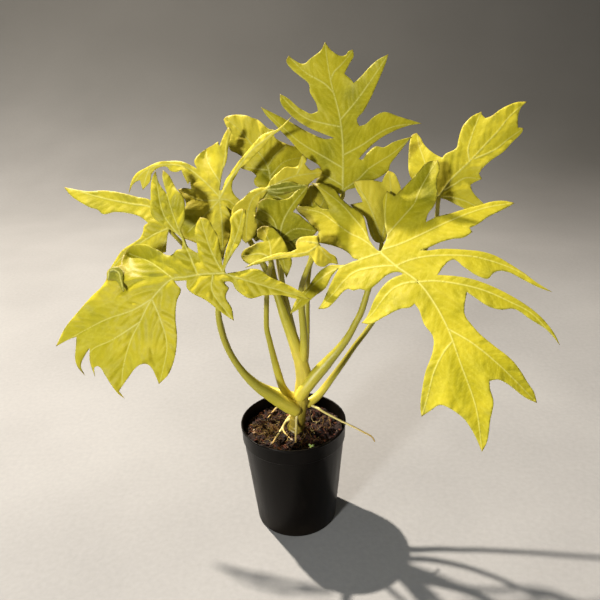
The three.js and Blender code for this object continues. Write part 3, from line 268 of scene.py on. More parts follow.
            (228, 208, 37, 2.5), (220.3, 200.5, 38, 2.2),
        ],
    },
    "back_centre": {
        "base": (271, 186, 68), "facing": (0.05, -0.93, 0.36),
        "margin": [
            (263, 187.9), (256, 186), (254, 180), (256.5, 176), (253, 172.5), (247, 170), (241, 168),
            (240, 163), (243, 158), (241, 156), (236, 153), (230, 150), (229, 140), (228, 130),
            (225.5, 124.5), (223.5, 119.5), (226, 116.8), (232, 115), (240, 114.8), (247, 115.6),
            (252, 117.8), (257, 119.3), (262, 123), (266, 127), (269, 129), (275, 130), (274, 136),
            (279, 140.5), (285.7, 143.5), (291, 145.5), (297, 147), (303, 152), (307, 158), (303, 166),
            (296, 173), (287, 180), (278, 185), (271, 187.5),
        ],
        "ribs": [
            (-12, [(271, 186), (270, 176), (267, 165), (262, 157), (254, 147), (243, 134), (226, 118)]),
            (4, [(268, 166), (276, 154), (287, 145)]),
            (-10, [(269, 170), (257, 169), (243, 167)]),
            (-10, [(270.5, 176), (284, 162), (304, 157)]),
        ],
        "stalk": [
            (301, 376, 3, 3.8), (300, 366, 12, 3.7), (297, 348, 22, 3.6), (292, 325, 31, 3.4),
            (286, 300, 41, 3.3), (280, 270, 53, 3.1), (275, 235, 64, 2.8), (272, 205, 70, 2.5),
            (271, 188.5, 70, 2.2),
        ],
    },
    "centre_upper": {
        "base": (268, 189, 36), "facing": (0, -0.9, 0.44),
        "margin": [
            (266.7, 187), (270, 181), (274.4, 175.6), (280, 171), (284.4, 167.2), (296.9, 166.5),
            (300, 160), (302.5, 153.75), (307, 160), (305, 164), (311.25, 170), (319.4, 168), (322.5, 171),
            (321, 176), (315, 179), (309, 184.4), (304, 190), (296, 194), (287.5, 193), (278, 194.5),
            (271, 193.5), (268.5, 190.5), (262, 199), (257, 207), (256, 214), (258, 228), (254, 237),
            (246, 243.5), (240, 237), (235, 229), (232, 219), (232, 210), (236, 204), (243.5, 198),
            (251, 191), (260, 187.6),
        ],
        "ribs": [
            (-12, [(268, 189), (280, 182), (296, 176), (321, 172.5)]),
            (0, [(296, 176), (301, 166), (303, 155)]),
            (8, [(268, 189), (254, 197), (248, 212), (246, 242)]),
        ],
        "stalk": [
            (296.5, 350, 3, 3.6), (293, 338, 9, 3.4), (287, 320, 12.5, 3.3), (280.5, 300, 17, 3.2),
            (275, 280, 24, 3), (270, 255, 32, 2.9), (268, 225, 38, 2.6), (267, 203, 41, 2.3),
            (267.9, 191, 38, 2),
        ],
    },
    "centre_dark": {
        "base": (279, 240, 8), "facing": (0.05, -0.92, 0.38),
        "margin": [
            (278, 239), (276, 230), (266.7, 221.7), (257.8, 219.4), (254.4, 217.8), (256.7, 210),
            (257.8, 203.3), (263, 199), (270, 198.3), (280, 200), (290, 197), (296, 191), (309, 184.4),
            (307, 192), (300, 203), (293, 212), (299, 214.4), (304.4, 219), (312, 225.6), (317.8, 230.6),
            (313.3, 235.6), (299, 237.8), (291, 241), (284, 242),
        ],
        "ribs": [
            (-6, [(279, 240), (283, 222), (291, 207), (307, 187)]),
            (4, [(279, 236), (272, 218), (259, 209)]),
            (-4, [(280, 239), (295, 229), (315, 231)]),
        ],
        "stalk": [
            (299.5, 366, 3, 3.6), (298.5, 354, 11, 3.5), (294.5, 337, 18.5, 3.3), (289, 318, 22, 3.1),
            (284.5, 300, 24, 2.9), (282.5, 283, 20, 2.7), (281, 262, 14, 2.4), (279.2, 242.5, 10, 2),
        ],
    },
    "centre_low": {
        "base": (271, 259, -15), "facing": (-0.05, -0.75, 0.66),
        "margin": [
            (270, 257.5), (264, 262), (254, 265), (245, 262), (241, 256), (244, 250), (251, 246),
            (257, 243), (264, 241.5), (258, 238), (257, 229.5), (263, 226), (271, 227), (277, 231.5),
            (284, 241), (288, 250), (292, 262), (289, 272), (286.5, 278), (282, 268), (278, 260),
        ],
        "ribs": [
            (-6, [(271, 259), (262, 254), (243, 256)]),
            (-5, [(271, 259), (270, 245), (264, 230)]),
            (-8, [(272, 259), (281, 257), (286.5, 276)]),
        ],
        "stalk": [
            (297, 401, 2, 4.6), (290, 396, 5, 4.6), (283, 387.5, 7, 4.4), (277.9, 372.9, 8, 4.1),
            (273.6, 357, 9, 3.6), (269.3, 340, 8, 3.1), (266.7, 328.6, 7, 2.9), (266.4, 310, 4, 2.8),
            (267, 290, 0, 2.6), (269, 272, -6, 2.3), (270.7, 261, -11, 2),
        ],
    },
    "centre_front": {
        "base": (318.5, 243.5, -24), "facing": (0.05, -0.72, 0.69),
        "margin": [
            (318.5, 242), (317.8, 236), (313.3, 235.8), (305.6, 236.5), (299, 238.2), (295.6, 244.4),
            (296.7, 249), (290, 252), (278, 253), (264, 258), (254, 262), (244.5, 268), (262, 262.4),
            (280, 258.6), (300, 257), (310, 256), (316.7, 265), (324.4, 266.7), (330, 263.3),
            (338.3, 264.4), (335.6, 256.7), (330, 253.4), (324.4, 248.5), (320, 246),
        ],
        "ribs": [
            (-3, [(318.5, 243.5), (310, 242), (299, 241)]),
            (-6, [(318, 245), (308, 252), (280, 256), (246, 267)]),
            (-6, [(319, 245), (326, 255), (337, 263)]),
        ],
        "stalk": [
            (301.5, 368, -1, 4.4), (303.5, 354, -3, 4.3), (304, 340, -4, 4.1), (303, 325, -4, 3.8),
            (301.5, 308, -5, 3.5), (301.5, 288, -8, 3.1), (306.7, 271, -12, 2.8), (313.5, 256, -16, 2.5),
            (318.3, 245.5, -20, 2),
        ],
    },
    "inner_right": {
        "base": (382, 243, 30), "facing": (-0.1, -0.9, 0.4),
        "margin": [
            (381, 243), (376, 242), (371, 236), (368, 226), (365, 217), (357, 212), (350, 204.5),
            (357, 203), (362.5, 202), (361, 198), (356.5, 190), (353, 181), (362, 180), (372, 180),
            (382, 182), (385, 175), (388, 170.5), (394, 173), (398, 180), (401, 190), (398, 201),
            (392, 216), (388, 229), (384, 242),
        ],
        "ribs": [
            (4, [(382, 243), (377, 226), (368, 203), (355, 182)]),
            (2, [(376, 240), (368, 222), (353, 205)]),
            (-4, [(382, 240), (386, 218), (391, 195), (389, 172)]),
        ],
        "stalk": [
            (303, 385, 5, 3.8), (316.5, 372, 13, 3.7), (328, 360.5, 18, 3.5), (339.3, 348, 20, 3.3),
            (348, 336, 21, 3.2), (355, 323, 21, 3.1), (361, 311, 20, 3), (368, 290, 19, 2.8),
            (375, 270, 25, 2.5), (381.5, 245.5, 32, 2.1),
        ],
    },
}

# How each blade differs from its neighbours. tone: 0 golden to 1 green. It is partly the leaf's own tone and
# partly painted shade, set higher on leaves that lie in shade. fold: millimetres that the margin rises per
# unit
# from a rib. wave: height of the waves towards the margin. quilt: how far the blade swells between its side
# veins. The patches of painted shade, where the leaf is darker and greener: across, down, radius and how
# much.
leafLooks = {
    "front_right": {"tone": 0.64, "fold": 0.06, "wave": 1.3, "quilt": 0.22, "veinGap": 10,
                    "paintedShade": [(426, 186, 20, 0.3)]},
    "top": {"tone": 0.6, "fold": 0.07, "wave": 2.0, "quilt": 0.7, "veinGap": 7.5,
            "paintedShade": [(358, 100, 24, 0.3), (336, 150, 20, 0.2), (366, 172, 14, 0.2)]},
    "back_right": {"tone": 0.5, "fold": 0.12, "wave": 1.8, "quilt": 0.5, "veinGap": 9},
    "front_left": {"tone": 0.5, "fold": 0.1, "wave": 4.4, "quilt": 1.5, "veinGap": 14,
                   "paintedShade": [(148, 260, 28, 0.32), (180, 256, 20, 0.25), (160, 206, 26, 0.25),
                               (92, 318, 22, 0.12)]},
    "far_left": {"tone": 0.5, "fold": 0.2, "wave": 2.4, "quilt": 0.7, "veinGap": 8,
                 "paintedShade": [(100, 198, 28, 0.25)]},
    "upper_left": {"tone": 0.3, "fold": 0.14, "wave": 3.0, "quilt": 0.9, "veinGap": 7,
                   "paintedShade": [(208, 156, 16, 0.2), (188, 224, 16, 0.55)]},
    "back_centre": {"tone": 0.1, "fold": 0.1, "wave": 3.4, "quilt": 1.8, "veinGap": 6.5,
                    "paintedShade": [(264, 176, 16, 0.75), (290, 160, 14, 0.35)]},
    "centre_upper": {"tone": 0.0, "fold": 0.2, "wave": 2.6, "quilt": 0.8, "veinGap": 7},
    # centre_dark's high tone is mostly painted shade, for a leaf that lies in shadow
    "centre_dark": {"tone": 0.85, "fold": 0.14, "wave": 1.8, "quilt": 0.8, "veinGap": 8},
    "centre_low": {"tone": 0.6, "fold": 0.16, "wave": 1.8, "quilt": 0.8, "veinGap": 7},
    "centre_front": {"tone": 0.05, "fold": 0.16, "wave": 2.0, "quilt": 0.6, "veinGap": 7},
    "inner_right": {"tone": 0.1, "fold": 0.14, "wave": 2.4, "quilt": 0.8, "veinGap": 8},
}


# An sRGB colour in the linear values that nodes and lamps take
def linear(hexColour):
    parts = [int(hexColour[i:i + 2], 16) / 255 for i in (1, 3, 5)]
    return [c / 12.92 if c <= 0.04045 else ((c + 0.055) / 1.055) ** 2.4 for c in parts] + [1]


# A shader node with its settings (lower-case names are the node's own, others are its inputs) and its
# links. A link comes from a socket, or from a node, which stands for its first output.
def addNode(tree, kind, settings=None, links=None):
    node = tree.nodes.new("ShaderNode" + kind)
    for name, value in (settings or {}).items():
        if name == "stops":
            ramp = node.color_ramp
            while len(ramp.elements) < len(value):
                ramp.elements.new(0.5)
            for element, (place, colour) in zip(ramp.elements, value):
                element.position = place
                element.color = linear(colour)
        elif isinstance(name, str) and name[0].islower():
            setattr(node, name, value)
        else:
            node.inputs[name].default_value = linear(value) if isinstance(value, str) else value
    for name, source in (links or {}).items():
        tree.links.new(getattr(source, "outputs", [source])[0], node.inputs[name])
    return node


# A new material, its nodes, and the socket that gives the place on the object in metres
def newMaterial(name):
    material = bpy.data.materials.new(name)
    material.use_nodes = True
    tree = material.node_tree
    tree.nodes.clear()
    return material, tree, addNode(tree, "TexCoord").outputs["Object"]


def sinCos(angle):
    return math.sin(math.radians(angle)), math.cos(math.radians(angle))


# Lines of sight through places in the view, each as long as brings it 1 mm deeper along the view's axis
def sightLines(spots):
    sinPitch, cosPitch = sinCos(sight["pitch"])
    sinRoll, cosRoll = sinCos(sight["roll"])
    dx, dy = ((np.asarray(spots, float) - sight["view"] / 2) / sight["focal"]).T
    right = dx * cosRoll - dy * sinRoll
    up = -dx * sinRoll - dy * cosRoll
    return np.stack([right, cosPitch + up * sinPitch, -sinPitch + up * cosPitch], 1)


# Where the lines of sight through spots come to given values of y (axis 1) or z (axis 2)
def onPlanes(spots, values, axis):
    lines = sightLines(spots)
    reach = (np.asarray(values, float) - sight["eye"][axis]) / lines[:, axis]
    return lines * reach[:, None] + sight["eye"]


def atDepths(spots, depths):
    return onPlanes(spots, depths, 1)


def atHeights(spots, heights):
    return onPlanes(spots, heights, 2)


# The points of a leaf that are seen at spots, lifted from the flat through its base, and the
# direction that this flat faces
def onLeaf(leaf, spots, lift):
    facing = np.array(Vector(leaf["facing"]).normalized())
    level = facing.dot(atDepths([leaf["base"][:2]], leaf["base"][2:])[0] - sight["eye"])
    lines = sightLines(spots)
    return lines * ((level + lift) / (lines @ facing))[:, None] + sight["eye"], facing


# A mesh object from points in millimetres, with named marks on its points for the materials to read
def addPiece(name, points, faces, material, marks=None):
    mesh = bpy.data.meshes.new(name)
    mesh.from_pydata((np.asarray(points) / 1000).tolist(), [], faces)
    for mark, values in (marks or {}).items():
        values = np.asarray(values, np.float32)
        if values.ndim == 1:
            mesh.attributes.new(mark, "FLOAT", "POINT").data.foreach_set("value", values)
        else:
            mesh.attributes.new(mark, "FLOAT_VECTOR", "POINT").data.foreach_set("vector", values.ravel())
    mesh.validate()
    mesh.shade_smooth()
    mesh.materials.append(material)
    piece = bpy.data.objects.new(name, mesh)
    bpy.context.scene.collection.objects.link(piece)
    return piece


# A smooth course through points (a centripetal Catmull-Rom spline), evenly spaced; further columns
# such as a radius go along with them
def smoothCourse(points, spacing, dimensions):
    steps = 24  # between two points, before the even spacing
    points = np.asarray(points, float)
    ends = np.vstack([2 * points[0] - points[1], points, 2 * points[-1] - points[-2]])
    gaps = np.linalg.norm(np.diff(ends[:, :dimensions], axis=0), axis=1) ** 0.5 + 1e-6
    knots = np.concatenate([[0], np.cumsum(gaps)])
    dense = []
    for i in range(1, len(ends) - 2):
        k0, k1, k2, k3 = knots[i - 1:i + 3]
        p0, p1, p2, p3 = ends[i - 1:i + 3]
        t = np.linspace(k1, k2, steps, endpoint=False)[:, None]
        a1 = (k1 - t) / (k1 - k0) * p0 + (t - k0) / (k1 - k0) * p1
        a2 = (k2 - t) / (k2 - k1) * p1 + (t - k1) / (k2 - k1) * p2
        a3 = (k3 - t) / (k3 - k2) * p2 + (t - k2) / (k3 - k2) * p3
        b1 = (k2 - t) / (k2 - k0) * a1 + (t - k0) / (k2 - k0) * a2
        b2 = (k3 - t) / (k3 - k1) * a2 + (t - k1) / (k3 - k1) * a3
        dense.append((k2 - t) / (k2 - k1) * b1 + (t - k1) / (k2 - k1) * b2)
    dense = np.vstack(dense + [points[-1:]])
    run = np.concatenate([[0], np.cumsum(np.linalg.norm(np.diff(dense[:, :dimensions], axis=0), axis=1))])
    wanted = np.linspace(0, run[-1], max(2, int(round(run[-1] / spacing)) + 1))
    return np.stack([np.interp(wanted, run, column) for column in dense.T], 1), wanted


# A round tube along a course of (x, y, z, radius), closed at both ends. swell(run, angles) changes
# the radius; the mark "skin" holds a point's place on the skin, for streaks that run along it.
def tubeMesh(course, run, sides, swell=None):
    centres, radii = course[:, :3], course[:, 3]
    along = np.gradient(centres, axis=0)
    along /= np.linalg.norm(along, axis=1)[:, None]
    normal = np.cross(along[0], (0.0, 0.0, 1.0) if abs(along[0][2]) < 0.9 else (1.0, 0.0, 0.0))
    angles = np.arange(sides) * 2 * math.pi / sides
    points, skin = [], []
    for centre, radius, direction, place in zip(centres, radii, along, run):
        normal = normal - direction * normal.dot(direction)
        normal /= np.linalg.norm(normal)
        other = np.cross(direction, normal)
        reach = radius * (swell(place, angles) if swell else np.ones(sides))
        points.append(centre + np.outer(np.cos(angles) * reach, normal)
                      + np.outer(np.sin(angles) * reach, other))
        skin.append(np.stack([np.cos(angles) * radius, np.sin(angles) * radius, np.full(sides, place)], 1))
    count = len(centres)
    foot, tip = centres[:1] - along[:1] * radii[0] * 0.3, centres[-1:] + along[-1:] * radii[-1] * 0.6
    points = np.vstack(points + [foot, tip])  # both ends are slightly domed
    skin = np.vstack(skin + [[[0, 0, run[0]]], [[0, 0, run[-1]]]])
    faces = []
    for i in range(count - 1):
        for j in range(sides):
            a, b = i * sides + j, i * sides + (j + 1) % sides
            faces.append((a, b, b + sides, a + sides))
    first, last, top = count * sides, count * sides + 1, (count - 1) * sides
    for j in range(sides):
        faces.append((first, (j + 1) % sides, j))
        faces.append((last, top + j, top + (j + 1) % sides))
    return points, faces, skin


def joinMeshes(parts):
    points, faces, marks, offset = [], [], [], 0
    for partPoints, partFaces, partMarks in parts:
        points.append(partPoints)
        marks.append(partMarks)
        faces += [tuple(i + offset for i in face) for face in partFaces]
        offset += len(partPoints)
    return np.vstack(points), faces, np.concatenate(marks)


def nearTree(spots):
    tree = KDTree(len(spots))
    for i, (x, y) in enumerate(spots):
        tree.insert((x, y, 0), i)
    tree.balance()
    return tree


# Distance to the nearest spot in a tree, and which one it is
def nearest(tree, spots):
    found = [tree.find((x, y, 0)) for x, y in spots]
    return np.array([f[2] for f in found]), np.array([f[1] for f in found])


def insideOutline(outline, spots):
    x, y = np.asarray(spots, float).T
    inside = np.zeros(len(x), bool)
    for (ax, ay), (bx, by) in zip(outline, np.roll(outline, -1, axis=0)):
        if ay != by:
            spans = (ay > y) != (by > y)
            inside ^= spans & (x < ax + (y - ay) / (by - ay) * (bx - ax))
    return inside


# The margin with its curves rounded out and its tips and notches left sharp
def fineMargin(margin, spacing, sharpTurn=62):
    margin = np.asarray(margin, float)
    margin = margin[np.linalg.norm(margin - np.roll(margin, 1, axis=0), axis=1) > 0.4]
    ahead = np.roll(margin, -1, axis=0) - margin
    lengths = np.linalg.norm(ahead, axis=1)
    ahead /= lengths[:, None]
    behind = np.roll(ahead, 1, axis=0)
    turn = np.degrees(np.arccos(np.clip((ahead * behind).sum(1), -1, 1)))
    mean = ahead + behind
    mean /= np.linalg.norm(mean, axis=1)[:, None] + 1e-9
    sharp = turn > sharpTurn
    leaving = np.where(sharp[:, None], ahead, mean)
    arriving = np.where(sharp[:, None], behind, mean)
    fine = []
    for i in range(len(margin)):
        j = (i + 1) % len(margin)
        t = np.linspace(0, 1, max(2, int(round(lengths[i] / spacing)) + 1))[:-1, None]
        start, end = leaving[i] * lengths[i], arriving[j] * lengths[i]
        fine.append((2 * t ** 3 - 3 * t ** 2 + 1) * margin[i] + (t ** 3 - 2 * t ** 2 + t) * start
                    + (3 * t ** 2 - 2 * t ** 3) * margin[j] + (t ** 3 - t ** 2) * end)
    return np.vstack(fine)


# The lift at spots, weighed from samples (across, down, lift) by how near they are
def sunkAt(samples, spots, softness=4.0):
    places, lifts = samples[:, :2], samples[:, 2]
    spots = np.asarray(spots, float)
    result = np.empty(len(spots))
    for i in range(0, len(spots), 2000):
        gap = spots[i:i + 2000, None, :] - places[None, :, :]
        weight = ((gap ** 2).sum(2) + softness ** 2) ** -1.5
        result[i:i + 2000] = (weight * lifts).sum(1) / weight.sum(1)
    return result


# Courses of the ribs with their runs, and samples of the lift from the leaf's flat along them. Each
# rib starts at the lift of those before it.
def layRibs(leaf):
    ribs, samples = [], np.zeros((0, 3))
    for sink, at in leaf["ribs"]:
        course, run = smoothCourse(at, 1.5, 2)
        start = sunkAt(samples, course[:1], 2.0)[0] if len(samples) else 0.0
        lift = start + (sink - start / 2) * (run / run[-1]) ** 2
        ribs.append({"course": course, "run": run})
        samples = np.vstack([samples, np.column_stack([course, lift])])
    return ribs, samples


veinSettings = {
    "closer": 0.8,  # their gap on the side ribs, as a share of that on the midrib
    "firstGap": (0.5, 1.0),
    "nextGap": (0.85, 1.2),
    "bareTip": 5,
    "angles": (54, 16),  # off the rib at its base, and how much less at its tip
    "step": 1.4,
    "bend": 1.5,  # degrees at each step
    "longest": 44,  # steps
    "shortest": 4,
    "clearOfMargin": 1.5,
    "clearOfRibs": 2.2,
}


# Side veins that leave each rib to left and right, bend towards its tip and stop short of the margin
def laySideVeins(ribs, outline, gap, rng):
    settings = veinSettings
    opening, closing = settings["angles"]
    marginNear = nearTree(outline)
    veins = []
    for number, rib in enumerate(ribs):
        otherNear = nearTree(np.vstack([other["course"] for k, other in enumerate(ribs) if k != number]))
        course, run = rib["course"], rib["run"]
        headings = np.gradient(course, axis=0)
        spacing = gap if number == 0 else gap * settings["closer"]
        for side in (-1, 1):
            place = spacing * rng.uniform(*settings["firstGap"])
            while place < run[-1] - settings["bareTip"]:
                i = int(np.searchsorted(run, place))
                spot = course[i].copy()
                angle = math.atan2(headings[i][1], headings[i][0])
                angle += side * math.radians(opening - closing * place / run[-1])
                points = [spot]
                for step in range(settings["longest"]):
                    spot = spot + settings["step"] * np.array([math.cos(angle), math.sin(angle)])
                    angle -= side * math.radians(settings["bend"])
                    if nearest(marginNear, [spot])[0][0] < settings["clearOfMargin"]:
                        break
                    if step > 1 and nearest(otherNear, [spot])[0][0] < settings["clearOfRibs"]:
                        break
                    points.append(spot)
                if len(points) >= settings["shortest"]:
                    veins.append(np.array(points))
                place += spacing * rng.uniform(*settings["nextGap"])
    return veins


def noiseAt(spots, scale, seed):
    return np.array([noise.noise(Vector((x / scale, y / scale, seed * 7.3))) for x, y in spots])


# Small lobes that have curled over or lie askew in the crowd, each with the leaf that it belongs to. Their
# darker tones are painted shade, for lobes that lie in shadow.
smallLobes = {
    "front_left_curl": {
        "leaf": "front_left", "base": (109, 273, -10.2), "facing": (-0.15, -0.85, 0.5),
        "margin": [
            (107.3, 279.9), (107.3, 274.9), (109.9, 268.4), (113, 267.2), (118, 266.9), (121.8, 269.9),
            (123.4, 273), (123, 276.8), (123, 281.8), (123.7, 286.4), (124.5, 290.2), (123.5, 292.1),
            (121.8, 289.5), (119.5, 285.6), (117, 281.4), (115.7, 280.3), (111.9, 280.7),
        ],
        "ribs": [
            (0, [(109, 271), (108.5, 276), (108, 279.5)]),
            (6, [(109, 271), (114, 270), (119, 273), (121, 281), (123.5, 291)]),
        ],
        # painted shade: a tone past the green end, so the curl looks shaded
        "tone": 1.4, "fold": 0.05, "wave": 0.5, "quilt": 0.2, "veinGap": 6,
    },
    "centre_upper_curl": {
        "leaf": "centre_upper", "base": (268, 189.5, 34.5), "facing": (0, -0.9, 0.44),
        "margin": [
            (267, 188.7), (269.8, 185.9), (275.3, 184.2), (283.9, 182), (290, 181.5), (296.1, 183.8),
            (303.5, 184.4), (309, 185), (303.5, 188.7), (293.7, 190.6), (287.6, 193), (281.5, 194.2),
            (271.7, 194.8), (268, 193),
        ],
        "ribs": [
            (0, [(268, 190), (278, 189), (290, 187), (307, 185.3)]),
            (1, [(270, 191), (276, 192.5), (284, 192.5)]),
        ],
        # painted shade: a dark tone for the shaded underside of the curl
        "tone": 1.15, "fold": 0.1, "wave": 0.6, "quilt": 0.2, "veinGap": 22,
    },
    "centre_upper_lobe": {
        "leaf": "centre_upper", "base": (278, 192, 35.2), "facing": (0, -0.9, 0.44),
        "margin": [
            (266, 192), (272, 190), (282, 189), (292, 189), (299, 188), (301, 194), (298, 201), (290, 206),
            (280, 208), (270, 208), (261, 206), (260, 200), (263, 195),
        ],
        "ribs": [
            (0, [(268, 192), (278, 197), (288, 201), (296, 200)]),
            (-1, [(268, 192), (266, 199), (267, 206)]),
        ],
        "tone": 0.6, "fold": 0.1, "wave": 1.2, "quilt": 0.5, "veinGap": 6,
    },
    "front_right_lobe": {
        "leaf": "front_right", "base": (312, 207, 46.5), "facing": (0, -0.9, 0.44),
        "margin": [
            (299, 205), (302, 197), (306, 189), (311, 185), (317, 186), (324, 191), (329, 198), (333, 207),
            (334, 214), (326, 215), (316, 213), (306, 211), (300, 209),
        ],
        "ribs": [
            (0, [(314, 211), (311, 200), (311, 188)]),
            (-1, [(314, 211), (322, 204), (325, 194)]),
        ],
        "tone": 0.0, "fold": 0.1, "wave": 1.2, "quilt": 0.5, "veinGap": 6,
    },
    "centre_dark_lobe": {
        "leaf": "centre_dark", "base": (286, 238, 10.2), "facing": (0.05, -0.92, 0.38),
        "margin": [
            (279, 237), (288, 236), (298, 236.5), (303, 238), (302, 246), (297, 253), (289, 257), (282, 254),
            (278, 247),
        ],
        "ribs": [
            (0, [(282, 238), (290, 243), (296, 251)]),
            (-1, [(282, 238), (283, 246), (286, 254)]),
        ],
        # painted shade: a dark tone for a lobe in the shadow of the crowd
        "tone": 0.9, "fold": 0.1, "wave": 1.0, "quilt": 0.4, "veinGap": 6,
    },
    "centre_upper_low": {
        "leaf": "centre_upper", "base": (262, 220, 17.5), "facing": (0, -0.9, 0.44),
        "margin": [
            (254, 215), (262, 216), (270, 220), (277, 225), (280, 232), (278, 239), (270, 238), (262, 239),
            (256, 242), (253, 238), (253, 230), (253, 222),
        ],
        "ribs": [
            (0, [(257, 218), (264, 225), (270, 231), (276, 236)]),
            (-1, [(257, 218), (258, 227), (257, 238)]),
        ],
        "tone": 0.5, "fold": 0.1, "wave": 1.2, "quilt": 0.5, "veinGap": 6,
    },
}

# Heights and thicknesses are in millimetres, the rest is in sight units
bladeSettings = {
    "gridSpacing": 1.7,
    "rowSpacing": 0.87,  # of the staggered rows, as a share of the grid's spacing
    "marginSpacing": 1.7,
    "ribRows": (-1.5, -0.7, 0, 0.7, 1.5),  # rows of points along each rib
    "clearOfRibs": 0.7,
    "clearOfMargin": 0.8,
    "thickness": 0.7,
    "edgeThickness": 0.3,
    "edgeWidth": 2.5,  # over which the blade thins
    "ribHeight": 0.4,  # of the raised line on a rib's upper side, at the base
    "ribUnder": 1.1,  # how far a rib stands out below
    "ribWidth": 1.0,  # half the width of a rib at the base
    "sideRib": 0.72,  # size of a side rib, as a share of the midrib's
    "ribTaper": 0.75,
    "veinWidth": 0.7,
    "waveLength": 15,
    "rippleLean": 0.7,  # the crests of ripples run along the side veins
    "rippleWidth": 4,
    "quiltWidth": 2.6,
    "quiltEdge": 3,
    "crumple": (0.25, 3.2),  # height and length of the fine unevenness
}


